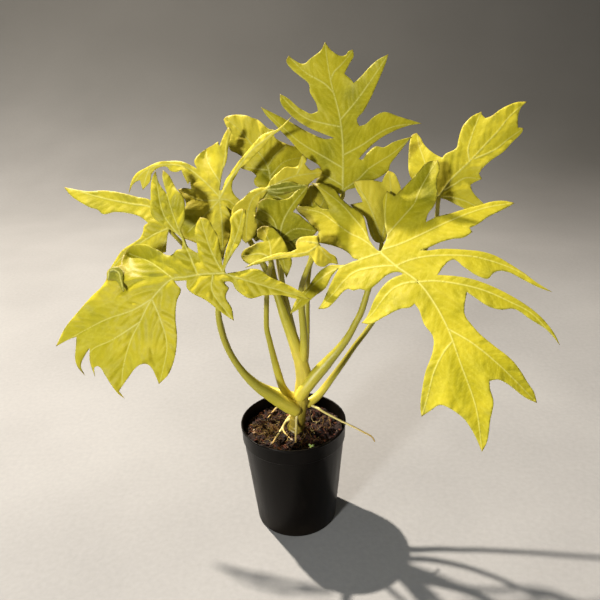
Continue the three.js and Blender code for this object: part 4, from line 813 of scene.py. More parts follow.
def makeBlade(number, name, node, leaf, look, material):
    settings = bladeSettings
    rng = random.Random(40 + number)
    outline = fineMargin(leaf["margin"], settings["marginSpacing"])
    ribs, samples = layRibs(leaf)
    veins = laySideVeins(ribs, outline, look["veinGap"], rng)
    marginNear = nearTree(outline)

    # Spots: the margin, a staggered grid inside it, and the ribs with rows to each side
    low, high = outline.min(0), outline.max(0)
    step = settings["gridSpacing"]
    rows = []
    for k, y in enumerate(np.arange(low[1], high[1], step * settings["rowSpacing"])):
        x = np.arange(low[0] + (k % 2) * step / 2, high[0], step)
        rows.append(np.column_stack([x, np.full(len(x), y)]))
    grid = np.vstack(rows)
    grid = grid[insideOutline(outline, grid)]
    ribSpots = []
    for rib in ribs:
        heading = np.gradient(rib["course"], axis=0)
        heading /= np.linalg.norm(heading, axis=1)[:, None]
        across = np.column_stack([-heading[:, 1], heading[:, 0]])
        ribSpots += [rib["course"] + across * shift for shift in settings["ribRows"]]
    ribSpots = np.vstack(ribSpots)
    ribSpots = ribSpots[insideOutline(outline, ribSpots)]
    grid = grid[nearest(nearTree(ribSpots), grid)[0] > settings["clearOfRibs"]]
    inner = np.vstack([ribSpots, grid])
    inner = inner[nearest(marginNear, inner)[0] > settings["clearOfMargin"]]
    count = len(outline)
    spots, _, triangles, *_ = delaunay_2d_cdt(
        [Vector(p) for p in np.vstack([outline, inner])],
        [(i, (i + 1) % count) for i in range(count)], [], 1, 1e-4)
    spots = np.array([tuple(p) for p in spots])
    triangles = np.array(triangles)

    # Distances to the ribs, the side veins and the margin, and the lines that they draw
    ribCourses = np.vstack([rib["course"] for rib in ribs])
    ribRuns = np.concatenate([rib["run"] for rib in ribs])
    ribParts = np.concatenate([rib["run"] / rib["run"][-1] for rib in ribs])
    ribShare = np.concatenate([np.full(len(rib["run"]), 1.0 if k == 0 else settings["sideRib"])
                               for k, rib in enumerate(ribs)])
    toRib, ribIndex = nearest(nearTree(ribCourses), spots)
    toVein = nearest(nearTree(np.vstack(veins)), spots)[0] if veins else np.full(len(spots), 20.0)
    toMargin = nearest(marginNear, spots)[0]
    apart = np.sort([nearest(nearTree(rib["course"]), spots)[0] for rib in ribs], axis=0)
    ribSize = ribShare[ribIndex] * (1 - settings["ribTaper"] * ribParts[ribIndex])
    ribLine = np.exp(-(toRib / (settings["ribWidth"] * (0.4 + 0.6 * ribSize))) ** 2)
    veinLine = np.exp(-(toVein / settings["veinWidth"]) ** 2)

    # Lift of every spot from the leaf's flat: bent ribs, folds, waves, ripples, quilting and veins
    towardsEdge = toRib / (toRib + toMargin + 2)
    ripple = np.column_stack([ribRuns[ribIndex] - settings["rippleLean"] * toRib,
                              toRib / settings["rippleWidth"]])
    rippled = towardsEdge * np.clip((apart[1] - apart[0]) / 5, 0, 1)
    swollen = 1 - np.exp(-(np.minimum(toVein, toRib) / settings["quiltWidth"]) ** 2)
    crumpled, crumpleLength = settings["crumple"]
    lift = sunkAt(samples, spots)
    lift += look["fold"] * (np.sqrt(toRib ** 2 + 9) - 3)
    lift += look["wave"] * towardsEdge ** 1.5 * noiseAt(spots, settings["waveLength"], number)
    lift += look["wave"] * rippled * noiseAt(ripple, look["veinGap"], number + 20)
    lift += look["quilt"] * swollen * np.minimum(1, toMargin / settings["quiltEdge"])
    lift += settings["ribHeight"] * ribLine * (0.3 + ribSize)
    lift += crumpled * noiseAt(spots, crumpleLength, number + 40)
    middle, facing = onLeaf(leaf, spots, lift)

    # Both faces, a little apart, and the edge between them
    corners = middle[triangles]
    turn = np.cross(corners[:, 1] - corners[:, 0], corners[:, 2] - corners[:, 0])
    normals = np.zeros_like(middle)
    for k in range(3):
        np.add.at(normals, triangles[:, k], turn)
    normals /= np.linalg.norm(normals, axis=1)[:, None] + 1e-12
    if (normals @ facing).mean() < 0:
        normals, triangles = -normals, triangles[:, ::-1]
    thick, thin = settings["thickness"], settings["edgeThickness"]
    half = 0.5 * (thin + (thick - thin) * np.clip(toMargin / settings["edgeWidth"], 0, 1))
    upper = middle + normals * half[:, None]
    lower = middle - normals * (half + settings["ribUnder"] * ribLine * ribSize)[:, None]
    total = len(middle)
    triangles = triangles.tolist()
    faces = [tuple(t) for t in triangles] + [(total + a, total + c, total + b) for a, b, c in triangles]
    used = {edge: True for a, b, c in triangles for edge in ((a, b), (b, c), (c, a))}
    faces += [(b, a, total + a, total + b) for a, b in used if (b, a) not in used]

    # What the material reads, the same on both faces but for "under"
    # Painted shade: the tone is raised in soft patches, so the leaf looks darker and greener where shadows
    # fall on it
    tone = np.full(total, look["tone"])
    for x, y, radius, shadeAmount in look.get("paintedShade", []):
        tone += shadeAmount * np.exp(-((spots - (x, y)) ** 2).sum(1) / radius ** 2)
    marks = {
        "vein": np.clip(ribLine ** 1.8 * (0.45 + 0.75 * ribSize), 0, 1),
        "sideVein": veinLine,
        "pleat": ripple[:, 0],
        # painted rim light: the margin is coloured paler, as if light caught it
        "edge": np.exp(-toMargin / 1.6),
        "tip": np.clip(ribParts[ribIndex] - 0.95, 0, 1) * 20 * np.exp(-toMargin / 1.2),
        "tone": tone,
    }
    marks = {mark: np.tile(values, 2) for mark, values in marks.items()}
    marks["under"] = np.repeat([0.0, 1.0], total)
    piece = addPiece("leaf_" + name, np.vstack([upper, lower]), faces, material, marks)
    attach(piece, "root")
    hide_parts(node)
    return piece


# Living leaf: a waxy satin skin over thin, juicy tissue. It shines softly, and lets yellow light through.
def philodendronLeaf():
    material, tree, place = newMaterial("philodendron leaf, waxy and living")
    mark = {name: addNode(tree, "Attribute", {"attribute_name": name}).outputs["Fac"]
            for name in ("vein", "sideVein", "pleat", "edge", "tip", "under", "tone")}
    clouds = addNode(tree, "TexNoise", {"Scale": 28.0, "Detail": 3.0, "Roughness": 0.55},
                     {"Vector": place})  # patches of about 35 mm
    mottle = addNode(tree, "TexNoise", {"Scale": 190.0, "Detail": 4.0, "Roughness": 0.6},
                     {"Vector": place})  # mottling of about 5 mm
    cells = addNode(tree, "TexVoronoi", {"feature": "DISTANCE_TO_EDGE", "Scale": 420.0},
                    {"Vector": place})  # the net of small veins, 2.4 mm wide
    net = addNode(tree, "MapRange", {"From Min": 0.0, "From Max": 0.12, "To Min": 1.0, "To Max": 0.0},
                  {"Value": cells})
    cloudTone = addNode(tree, "Math", {"operation": "MULTIPLY_ADD", 1: 0.8, 2: -0.4}, {0: clouds})
    toneSum = addNode(tree, "Math", {"operation": "ADD", "use_clamp": True},
                      {0: mark["tone"], 1: cloudTone})
    blade = addNode(tree, "ValToRGB", {"stops": [
        (0.0, "#F6E344"), (0.35, "#EBDA32"), (0.7, "#C8BE1C"), (1.0, "#82840C")]}, {0: toneSum})
    mottleShare = addNode(tree, "MapRange", {
        "From Min": 0.35, "From Max": 0.7, "To Min": 0.0, "To Max": 0.3}, {"Value": mottle})
    colour = addNode(tree, "Mix", {"data_type": "RGBA", "blend_type": "MULTIPLY", 7: "#E8E2A0"},
                     {0: mottleShare, 6: blade})
    pleatTurn = addNode(tree, "Math", {"operation": "MULTIPLY_ADD", 1: 2.1},
                        {0: mark["pleat"], 2: mottle})  # a fine side vein every 3 mm
    pleat = addNode(tree, "Math", {"operation": "SINE"}, {0: pleatTurn})
    netLine = addNode(tree, "Math", {"operation": "MULTIPLY_ADD", 1: 0.3, "use_clamp": True},
                      {0: pleat, 2: net})

    # Over one another: the net, the side veins, the ribs, the paler margin (a painted rim light), dried tips
    # and the underside
    layers = [(netLine, 0.12, "#EEE65A"), (mark["sideVein"], 0.35, "#F0E852"), (mark["vein"], 0.8, "#F8F48C"),
              (mark["edge"], 0.3, "#EEE462"), (mark["tip"], 0.6, "#8E6E24"), (mark["under"], 0.4, "#D8D644")]
    for source, strength, tint in layers:
        share = addNode(tree, "Math", {"operation": "MULTIPLY", 1: strength}, {0: source})
        colour = addNode(tree, "Mix", {"data_type": "RGBA", 7: tint}, {0: share, 6: colour.outputs[2]})
    # Painted shade from ambient occlusion: the colour turns darker and greener where other leaves and stalks
    # come close
    crowdShade = addNode(tree, "AmbientOcclusion", {"samples": 6, "Distance": 0.045}).outputs["AO"]
    shadeShare = addNode(tree, "MapRange", {
        "From Min": 0.35, "From Max": 0.9, "To Min": 0.75, "To Max": 0.0}, {"Value": crowdShade})
    shaded = addNode(tree, "Mix", {"data_type": "RGBA", 7: "#5C6006"},
                     {0: shadeShare, 6: colour.outputs[2]}).outputs[2]  # painted shade: darker and greener where other parts come close
    through = addNode(tree, "Mix", {"data_type": "RGBA", "blend_type": "MULTIPLY", 0: 1.0, 7: "#D2DC28"},
                      {6: shaded}).outputs[2]
    gloss = addNode(tree, "MapRange", {"To Min": 0.42, "To Max": 0.58}, {"Value": mottle})
    roughness = addNode(tree, "Math", {"operation": "MULTIPLY_ADD", 1: 0.14}, {0: mark["under"], 2: gloss})
    relief = addNode(tree, "Math", {"operation": "MULTIPLY_ADD", 1: -0.5}, {0: net, 2: mottle})
    folded = addNode(tree, "Math", {"operation": "MULTIPLY_ADD", 1: -0.16}, {0: pleat, 2: relief})
    bump = addNode(tree, "Bump", {"Strength": 0.35, "Distance": 0.0002}, {"Height": folded})
    skin = addNode(tree, "BsdfPrincipled", {"IOR": 1.45, "Specular IOR Level": 0.36},
                   {"Base Color": shaded, "Roughness": roughness, "Normal": bump})
    glow = addNode(tree, "BsdfTranslucent", {}, {"Color": through, "Normal": bump})
    both = addNode(tree, "MixShader", {0: 0.4}, {1: skin, 2: glow})
    addNode(tree, "OutputMaterial", {}, {"Surface": both})
    return material


# Stalks, stem, roots and the seedling: firm and smooth, with streaks along them and small pale pores
def leafStalk(name, tones, pores):
    material, tree, place = newMaterial(name)
    skin = addNode(tree, "Attribute", {"attribute_name": "skin"}).outputs["Vector"]
    age = addNode(tree, "Attribute", {"attribute_name": "age"}).outputs["Fac"]
    stretched = addNode(tree, "Mapping", {"Scale": (1.0, 1.0, 0.06)}, {"Vector": skin})
    streaks = addNode(tree, "TexNoise", {"Scale": 0.9, "Detail": 3.0}, {"Vector": stretched})
    clouds = addNode(tree, "TexNoise", {"Scale": 45.0, "Detail": 2.0}, {"Vector": place})
    mixed = addNode(tree, "Math", {"operation": "MULTIPLY_ADD", 1: 0.5}, {0: clouds, 2: age})
    streaked = addNode(tree, "Math", {"operation": "MULTIPLY_ADD", 1: 0.35, "use_clamp": True},
                       {0: streaks, 2: mixed})
    centred = addNode(tree, "Math", {"operation": "SUBTRACT", 1: 0.42, "use_clamp": True}, {0: streaked})
    colour = addNode(tree, "ValToRGB", {"stops": tones}, {0: centred})
    shortened = addNode(tree, "Mapping", {"Scale": (1.0, 1.0, 0.45)}, {"Vector": skin})
    specks = addNode(tree, "TexVoronoi", {"Scale": 0.55, "Randomness": 1.0},
                     {"Vector": shortened})  # a pore every 2 mm or so
    speck = addNode(tree, "MapRange", {"From Min": 0.12, "From Max": 0.2, "To Min": pores, "To Max": 0.0},
                    {"Value": specks})
    spotted = addNode(tree, "Mix", {"data_type": "RGBA", 7: "#E2DA86"}, {0: speck, 6: colour})
    gloss = addNode(tree, "MapRange", {"To Min": 0.3, "To Max": 0.5}, {"Value": streaks})
    height = addNode(tree, "Math", {"operation": "ADD"}, {0: streaks, 1: speck})
    bump = addNode(tree, "Bump", {"Strength": 0.3, "Distance": 0.0003}, {"Height": height})
    shader = addNode(tree, "BsdfPrincipled", {
        "IOR": 1.45, "Subsurface Weight": 0.15, "Subsurface Radius": (0.002, 0.0016, 0.0003),
        "Subsurface Scale": 1.0}, {"Base Color": spotted.outputs[2], "Roughness": gloss, "Normal": bump})
    addNode(tree, "OutputMaterial", {}, {"Surface": shader})
    return material


# Lengths are in millimetres, swellings are shares of the radius
stalkSettings = {
    "sides": 24,
    "ringGap": 1.4,
    "grip": 6.0,  # how far the end follows the midrib, in sight units
    "gripDepth": 0.6,  # how far below the blade's middle it ends
    "tipSize": 0.55,  # radius of the end, as a share of the one before
    "sheath": 0.28,  # share of the stalk that its sheath clasps
    "sheathSwell": 0.05,
    "sheathLip": 1.6,  # length over which the sheath's edge falls off
    "ragged": (2.6, 0.9),  # how far that edge runs up and down, once and five times round
    "foot": 0.8,  # length of the rounded foot, in radii
    "uneven": (0.025, 25),  # a slow swelling and its length
    "flutes": (0.012, 0.006),  # five broad ones and nine fine ones
    "knee": (0.12, 9, 5),  # below the blade: its swelling, distance from the end, length
    "ages": ((0, 0.35, 0.8, 1), (0.14, 0.7, 0.7, 0.35)),  # parts of the way up, and the age there
}


def makeStalk(number, name, leaf, material):
    settings = stalkSettings
    path = np.array(leaf["stalk"], float)
    first, second = np.array(leaf["ribs"][0][1][:2], float)
    spot = first + (second - first) * settings["grip"] / np.linalg.norm(second - first)
    end, facing = onLeaf(leaf, [spot], sunkAt(layRibs(leaf)[1], [spot]))
    points = np.vstack([atDepths(path[:, :2], path[:, 2]), end - facing * settings["gripDepth"]])
    radii = np.append(path[:, 3], path[-1, 3] * settings["tipSize"])
    course, run = smoothCourse(np.column_stack([points, radii]), settings["ringGap"], 3)
    whole = run[-1]
    sheathEnd = whole * settings["sheath"]
    foot = settings["foot"] * radii[0]
    uneven, unevenLength = settings["uneven"]
    broad, fine = settings["flutes"]
    raggedOnce, raggedOften = settings["ragged"]
    knee, kneeBack, kneeLength = settings["knee"]

    def swell(place, angles):
        slow = 1 + uneven * noise.noise(Vector((place / unevenLength, number * 3.1, 0)))
        flute = broad * np.sin(5 * angles + number) + fine * np.sin(9 * angles + place / 20)
        joint = knee * math.exp(-((whole - kneeBack - place) / kneeLength) ** 2)
        ragged = sheathEnd + raggedOnce * np.sin(angles + number * 1.7)
        ragged = ragged + raggedOften * np.sin(5 * angles + number)
        sheath = settings["sheathSwell"] * np.clip((ragged - place) / settings["sheathLip"], 0, 1)
        rounded = math.sqrt(1 - 0.9 * max(0, 1 - place / foot) ** 2)
        return (slow + flute + joint + sheath * (0.55 + 0.45 * place / sheathEnd)) * rounded

    points, faces, skin = tubeMesh(course, run, settings["sides"], swell)
    age = np.interp(skin[:, 2] / whole, *settings["ages"])
    piece = addPiece("stalk_" + name + "_skin", points, faces, material, {"skin": skin, "age": age})
    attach(piece, "root")
    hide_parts("stalk_" + name)


# path: across, down, depth, radius. Lengths are in millimetres, swellings are shares of the radius.
stemSettings = {
    "path": [(296, 447, 2, 9.6), (296, 430, 1, 9.6), (298, 418, 0, 8.8), (300, 405, 0, 8.2),
             (302, 390, 0, 8.2), (303.5, 375, 0, 8.5), (301, 362, 0, 7.8), (296.5, 350, 1, 6.4)],
    "sides": 40,
    "ringGap": 1.0,
    "scars": [(14, 0.07), (21, 0.1), (27, 0.11), (33, 0.09), (41, 0.05)],  # length up the stem, swelling
    "scarTilt": 1.6,
    "scarRidge": 1.3,
    "scarGroove": (0.6, 2.6, 1.6),  # its depth as a share of the ridge, how far above it, its length
    "uneven": (0.03, 9),
    "flutes": 0.02,
}

# paths: across, down, height z, radius
rootSettings = {
    "paths": [
        [(294, 414, 133, 1.9), (289, 417, 129.5, 1.6), (282, 428.6, 121.5, 1.4), (276.4, 437, 118.5, 1.2),
         (271.4, 445.2, 117.2, 0.9)],
        [(297, 414, 141, 1.8), (296.4, 421, 134.5, 1.5), (296, 431.4, 126, 1.3), (295.4, 444.5, 117.5, 1.0)],
        [(303, 404, 148, 1.9), (309, 404.5, 147, 1.6), (318, 408.6, 145, 1.4), (330.7, 415.7, 142, 1.3),
         (342, 421.4, 139.5, 1.2), (353.6, 427, 137, 1.1), (365, 432.9, 132, 1.0), (372, 437, 126, 0.9),
         (374.7, 441.4, 121, 0.7)],
        [(296, 408, 143, 1.5), (287, 405.5, 137, 1.3), (280, 405, 130, 1.2), (276, 408, 124, 1.1),
         (272, 413, 119.5, 1.0), (268, 418, 117, 0.8)],
        [(292, 418, 131, 1.5), (285.5, 422, 127, 1.2), (283, 428.5, 122, 1.1), (286, 434.5, 118.8, 1.0),
         (290, 438.5, 117, 0.8)],
    ],
    "sides": 14,
    "ringGap": 0.9,
    "seed": 11,  # without one, noise_vector starts from the clock
    "wobble": (0.3, 7, 6),  # how far the course strays, over what length, length at the stem that is still
    "size": 0.97,
    "uneven": (0.07, 3.5),
    "flutes": 0.02,
}


def makeStem(material):
    settings = stemSettings
    path = np.array(settings["path"], float)
    points = atDepths(path[:, :2], path[:, 2])
    course, run = smoothCourse(np.column_stack([points, path[:, 3]]), settings["ringGap"], 3)
    uneven, unevenLength = settings["uneven"]
    deep, above, grooveLength = settings["scarGroove"]

    def swell(place, angles):
        size = np.ones(len(angles)) + uneven * noise.noise(Vector((place / unevenLength, 1.7, 4)))
        for k, (up, high) in enumerate(settings["scars"]):
            past = place - up - settings["scarTilt"] * np.cos(angles + k * 2.4)
            size += high * np.exp(-(past / settings["scarRidge"]) ** 2)
            size -= high * deep * np.exp(-((past - above) / grooveLength) ** 2)
        return size + settings["flutes"] * np.sin(7 * angles + place / 5)

    points, faces, skin = tubeMesh(course, run, settings["sides"], swell)
    age = np.clip(1.0 - skin[:, 2] / run[-1] * 1.2, 0.1, 1)
    piece = addPiece("stem_bark", points, faces, material, {"skin": skin, "age": age})
    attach(piece, "root")
    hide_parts("stem")


def makeRoots(material):
    settings = rootSettings
    wobbling, wobbleLength, still = settings["wobble"]
    uneven, unevenLength = settings["uneven"]
    noise.seed_set(settings["seed"])
    parts, ages = [], []
    for number, path in enumerate(settings["paths"]):
        path = np.array(path, float)
        points = atHeights(path[:, :2], path[:, 2])
        course, run = smoothCourse(np.column_stack([points, path[:, 3]]), settings["ringGap"], 3)
        wobble = np.array([noise.noise_vector(Vector((place / wobbleLength, number * 5.0, 0)))
                           for place in run])
        course[:, :3] += wobble * wobbling * np.clip(run / still, 0, 1)[:, None]

        def swell(place, angles):
            slow = uneven * noise.noise(Vector((place / unevenLength, number * 2.0, 3)))
            return settings["size"] + slow + settings["flutes"] * np.sin(4 * angles + place)

        points, faces, skin = tubeMesh(course, run, settings["sides"], swell)
        parts.append((points, faces, skin))
        ages.append(np.clip(skin[:, 2] / run[-1] - 0.55, 0, 1) * 1.6)  # older towards the tip
    points, faces, skin = joinMeshes(parts)
    piece = addPiece("aerial_roots", points, faces, material, {"skin": skin, "age": np.concatenate(ages)})
    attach(piece, "root")
    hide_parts("stem")


# Metres. Each step of the wall is (radius, height), from the underside out, up, over the rim and down inside.
potSettings = {
    "segments": 144,
    "wall": [(0.0458, 0.0), (0.0470, 0.0014), (0.0576, 0.1100), (0.0589, 0.1114), (0.0595, 0.1276),
             (0.0600, 0.1282), (0.0600, 0.1294), (0.0597, 0.1300), (0.0582, 0.1300), (0.0577, 0.1284),
             (0.0571, 0.1124), (0.0559, 0.1088), (0.0457, 0.0034), (0.0443, 0.0024)],
    "holeRadius": 0.004,
    "holeRing": 0.032,
    "holes": 6,
    "softening": 0.0003,
    "softenedFrom": 28,  # degrees between faces
    "smoothUpTo": 40,
}


def deselectAll():
    bpy.ops.object.select_all(action="DESELECT")


def makePot(material):
    settings = potSettings
    deselectAll()
    radius, height = settings["wall"][0]
    bpy.ops.mesh.primitive_circle_add(vertices=settings["segments"], radius=radius, fill_type="NGON",
                                      location=(0, 0, height))
    pot = bpy.context.object
    pot.name = pot.data.name = "nursery_pot"
    bpy.ops.object.mode_set(mode="EDIT")
    bpy.ops.mesh.select_all(action="SELECT")
    for nextRadius, nextHeight in settings["wall"][1:]:
        bpy.ops.mesh.extrude_region_move(TRANSFORM_OT_translate={"value": (0, 0, nextHeight - height)})
        bpy.ops.transform.resize(value=(nextRadius / radius, nextRadius / radius, 1),
                                 center_override=(0, 0, nextHeight))
        radius, height = nextRadius, nextHeight
    bpy.ops.mesh.select_all(action="SELECT")
    bpy.ops.mesh.normals_make_consistent(inside=False)
    bpy.ops.object.mode_set(mode="OBJECT")
    for i in range(settings["holes"]):
        angle = i * 2 * math.pi / settings["holes"]
        deselectAll()
        bpy.ops.mesh.primitive_cylinder_add(
            vertices=24, radius=settings["holeRadius"], depth=0.02,
            location=(settings["holeRing"] * math.cos(angle), settings["holeRing"] * math.sin(angle), 0))
        drill = bpy.context.object
        pot.select_set(True)
        bpy.context.view_layer.objects.active = pot
        cut = pot.modifiers.new("hole", "BOOLEAN")
        cut.operation, cut.object, cut.solver = "DIFFERENCE", drill, "EXACT"
        bpy.ops.object.modifier_apply(modifier=cut.name)
        bpy.data.objects.remove(drill)
    bevel = pot.modifiers.new("softened", "BEVEL")
    bevel.width, bevel.segments, bevel.limit_method = settings["softening"], 2, "ANGLE"
    bevel.angle_limit = math.radians(settings["softenedFrom"])
    bpy.ops.object.modifier_apply(modifier=bevel.name)
    deselectAll()
    pot.select_set(True)
    bpy.context.view_layer.objects.active = pot
    bpy.ops.object.shade_smooth_by_angle(angle=math.radians(settings["smoothUpTo"]))
    pot.data.materials.append(material)
    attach(pot, "root")
    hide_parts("pot")


# Polypropylene, injection moulded in black: a dull sheen, faint upright scuffs and dried splashes of mix
def mouldedPolypropylene():
    material, tree, place = newMaterial("polypropylene, moulded black")
    upright = addNode(tree, "Mapping", {"Scale": (1.0, 1.0, 0.12)}, {"Vector": place})
    scuffs = addNode(tree, "TexNoise", {"Scale": 130.0, "Detail": 4.0}, {"Vector": upright})
    dust = addNode(tree, "TexNoise", {"Scale": 60.0, "Detail": 6.0, "Roughness": 0.7}, {"Vector": place})
    grain = addNode(tree, "TexNoise", {"Scale": 2200.0, "Detail": 2.0}, {"Vector": place})  # spark finish
    height = addNode(tree, "SeparateXYZ", {}, {0: place}).outputs["Z"]
    low = addNode(tree, "MapRange", {"From Min": 0.0, "From Max": 0.03, "To Min": 0.2, "To Max": 0.0},
                  {"Value": height})
    dusty = addNode(tree, "MapRange", {"From Min": 0.55, "From Max": 0.85, "To Min": 0.0, "To Max": 0.12},
                    {"Value": dust})
    share = addNode(tree, "Math", {"operation": "MULTIPLY_ADD", 1: 0.5, "use_clamp": True},
                    {0: low, 2: dusty})
    plastic = addNode(tree, "ValToRGB", {"stops": [(0.3, "#040302"), (0.7, "#0A0705")]}, {0: scuffs})
    colour = addNode(tree, "Mix", {"data_type": "RGBA", 7: "#3A3026"}, {0: share, 6: plastic})
    gloss = addNode(tree, "MapRange", {"From Min": 0.3, "From Max": 0.7, "To Min": 0.3, "To Max": 0.42},
                    {"Value": scuffs})
    roughness = addNode(tree, "Math", {"operation": "ADD"}, {0: gloss, 1: share})
    bump = addNode(tree, "Bump", {"Strength": 0.25, "Distance": 0.0001}, {"Height": grain})
    shader = addNode(tree, "BsdfPrincipled", {"IOR": 1.49, "Specular IOR Level": 0.09},
                     {"Base Color": colour.outputs[2], "Roughness": roughness, "Normal": bump})
    addNode(tree, "OutputMaterial", {}, {"Surface": shader})
    return material


# Millimetres. crumbs: height, width. calmEdge: width at the pot where the crumbs die down.
soilSettings = {"level": 117.0, "radius": 55.6, "rings": 84, "sectors": 168, "foot": 108.0,
                "crumbs": (1.6, 6), "calmEdge": 3}


# Lumps as waves that cross one another
def soilHeights(x, y):
    lumps = 1.5 * np.sin(x * 0.21 + 1.3) * np.cos(y * 0.19 - 0.4)
    return soilSettings["level"] + lumps + np.sin(x * 0.43 - y * 0.37) + 0.7 * np.cos(x * 0.71 + y * 0.66)


def crumbs(x, y):
    high, wide = soilSettings["crumbs"]
    return np.array([high * noise.fractal(Vector((a / wide, b / wide, 2.0)), 0.9, 2.1, 4)
                     for a, b in zip(x, y)])


def makeSoil(material):
    settings = soilSettings
    count = settings["sectors"]
    radii = settings["radius"] * np.arange(1, settings["rings"] + 1) / settings["rings"]
    angles = np.arange(count) * 2 * math.pi / count
    x = np.concatenate([[0.0]] + [r * np.cos(angles) for r in radii])
    y = np.concatenate([[0.0]] + [r * np.sin(angles) for r in radii])
    edge = np.clip((settings["radius"] - np.hypot(x, y)) / settings["calmEdge"], 0, 1)
    points = np.column_stack([x, y, soilHeights(x, y) + crumbs(x, y) * edge])
    skirt = np.column_stack([radii[-1] * np.cos(angles), radii[-1] * np.sin(angles),
                             np.full(count, settings["foot"])])
    points = np.vstack([points, skirt, [[0, 0, settings["foot"]]]])
    faces = [(0, 1 + i, 1 + (i + 1) % count) for i in range(count)]
    for ring in range(settings["rings"]):
        low, high = 1 + ring * count, 1 + (ring + 1) * count
        for i in range(count):
            k = (i + 1) % count
            faces.append((low + i, high + i, high + k, low + k))
    last = 1 + settings["rings"] * count
    faces += [(last + count, last + (i + 1) % count, last + i) for i in range(count)]
    piece = addPiece("potting_mix", points, faces, material)
    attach(piece, "root")
    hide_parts("soil")


# Peat and bark: dark, damp and crumbly, with lighter fibrous flecks
def pottingMix():
    material, tree, place = newMaterial("peat and bark potting mix, damp")
    crumb = addNode(tree, "TexNoise", {"Scale": 420.0, "Detail": 6.0, "Roughness": 0.7}, {"Vector": place})
    lumps = addNode(tree, "TexVoronoi", {"Scale": 330.0}, {"Vector": place})  # crumbs of 3 mm
    patch = addNode(tree, "TexNoise", {"Scale": 55.0, "Detail": 2.0}, {"Vector": place})
    peat = addNode(tree, "ValToRGB", {"stops": [
        (0.25, "#090403"), (0.5, "#1C0C07"), (0.68, "#3C1B0E"), (0.85, "#6C3A1E")]}, {0: crumb})
    patched = addNode(tree, "MapRange", {"From Min": 0.4, "From Max": 0.7, "To Min": 0.0, "To Max": 0.5},
                      {"Value": patch})
    tinted = addNode(tree, "Mix", {"data_type": "RGBA", "blend_type": "MULTIPLY"},
                     {0: patched, 6: peat, 7: lumps.outputs["Color"]})
    height = addNode(tree, "Math", {"operation": "SUBTRACT"}, {0: crumb, 1: lumps})
    bump = addNode(tree, "Bump", {"Strength": 0.9, "Distance": 0.0015}, {"Height": height})
    roughness = addNode(tree, "MapRange", {"To Min": 0.6, "To Max": 1.0}, {"Value": crumb})
    shader = addNode(tree, "BsdfPrincipled", {"Specular IOR Level": 0.3},
                     {"Base Color": tinted.outputs[2], "Roughness": roughness, "Normal": bump})
    addNode(tree, "OutputMaterial", {}, {"Surface": shader})
    return material


# Loose bits on the mix, in millimetres. long, wide, thick, radius: from, to.
chipSettings = {
    "bark_chips": {
        "count": 520, "long": (2.0, 8.0), "wide": (1.0, 3.0), "thick": (0.6, 1.6), "seed": 3,
        "reach": 53, "clearOfStem": 9,
        "rim": 50, "rimSize": 0.6,  # beyond this radius they are shorter
        "raised": 0.25,  # of its thickness
        "tilts": (0.3, 0.4),
        "corners": ((-0.5, -0.2), (-0.3, -0.5), (0.25, -0.45), (0.5, 0.1), (0.3, 0.5), (-0.35, 0.42)),
        "ragged": (0.1, 0.12, 0.15),
    },
    "fibres": {
        "count": 260, "long": (7.0, 20.0), "radius": (0.2, 0.5), "seed": 5,
        "drift": 0.45, "driftAcross": (-30, 9), "driftDeep": (-2, 12),  # their share, middle and spread
        "reach": 52, "clearOfStem": 10, "strewn": (-50, 50),
        "bend": 0.12, "lift": 0.4, "taper": 0.12,
    },
}


def onSoil(x, y):
    spot = np.array([x]), np.array([y])
    return float((soilHeights(*spot) + crumbs(*spot))[0])


def makeChips(material):
    settings = chipSettings["bark_chips"]
    rng = random.Random(settings["seed"])
    corners, (byLength, byWidth, byThickness) = settings["corners"], settings["ragged"]
    around = len(corners)
    perChip = 2 * around + 2
    points, faces, tones = [], [], []
    while len(tones) < settings["count"] * perChip:
        radius, angle = settings["reach"] * math.sqrt(rng.random()), rng.uniform(0, 2 * math.pi)
        x, y = radius * math.cos(angle), radius * math.sin(angle)
        if math.hypot(x, y - 1) < settings["clearOfStem"]:
            continue
        long, wide, thick = (rng.uniform(*settings[k]) for k in ("long", "wide", "thick"))
        if radius > settings["rim"]:
            long *= settings["rimSize"]
        heading = Matrix.Rotation(rng.uniform(0, 2 * math.pi), 3, "Z")
        pitch, roll = (Matrix.Rotation(rng.gauss(0, tilt), 3, axis)
                       for axis, tilt in zip("YX", settings["tilts"]))
        turn = heading @ pitch @ roll
        centre = Vector((x, y, onSoil(x, y) + thick * settings["raised"]))
        start = len(points)
        for layer in (-0.5, 0.5):  # a six-cornered splinter, ragged at both ends
            for along, across in corners:
                corner = Vector(((along + rng.uniform(-byLength, byLength)) * long,
                                 (across + rng.uniform(-byWidth, byWidth)) * wide,
                                 (layer + rng.uniform(-byThickness, byThickness)) * thick))
                points.append(centre + turn @ corner)
        for layer in (-0.8, 0.8):
            points.append(centre + turn @ Vector((rng.uniform(-0.1, 0.1) * long, 0, layer * thick)))
        for i in range(around):
            k = (i + 1) % around
            faces.append((start + i, start + k, start + around + k, start + around + i))
            faces.append((start + 2 * around, start + k, start + i))
            faces.append((start + 2 * around + 1, start + around + i, start + around + k))
        tones += [rng.random()] * perChip
    piece = addPiece("bark_chips", points, faces, material, {"age": tones})
    piece.data.shade_flat()
    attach(piece, "root")


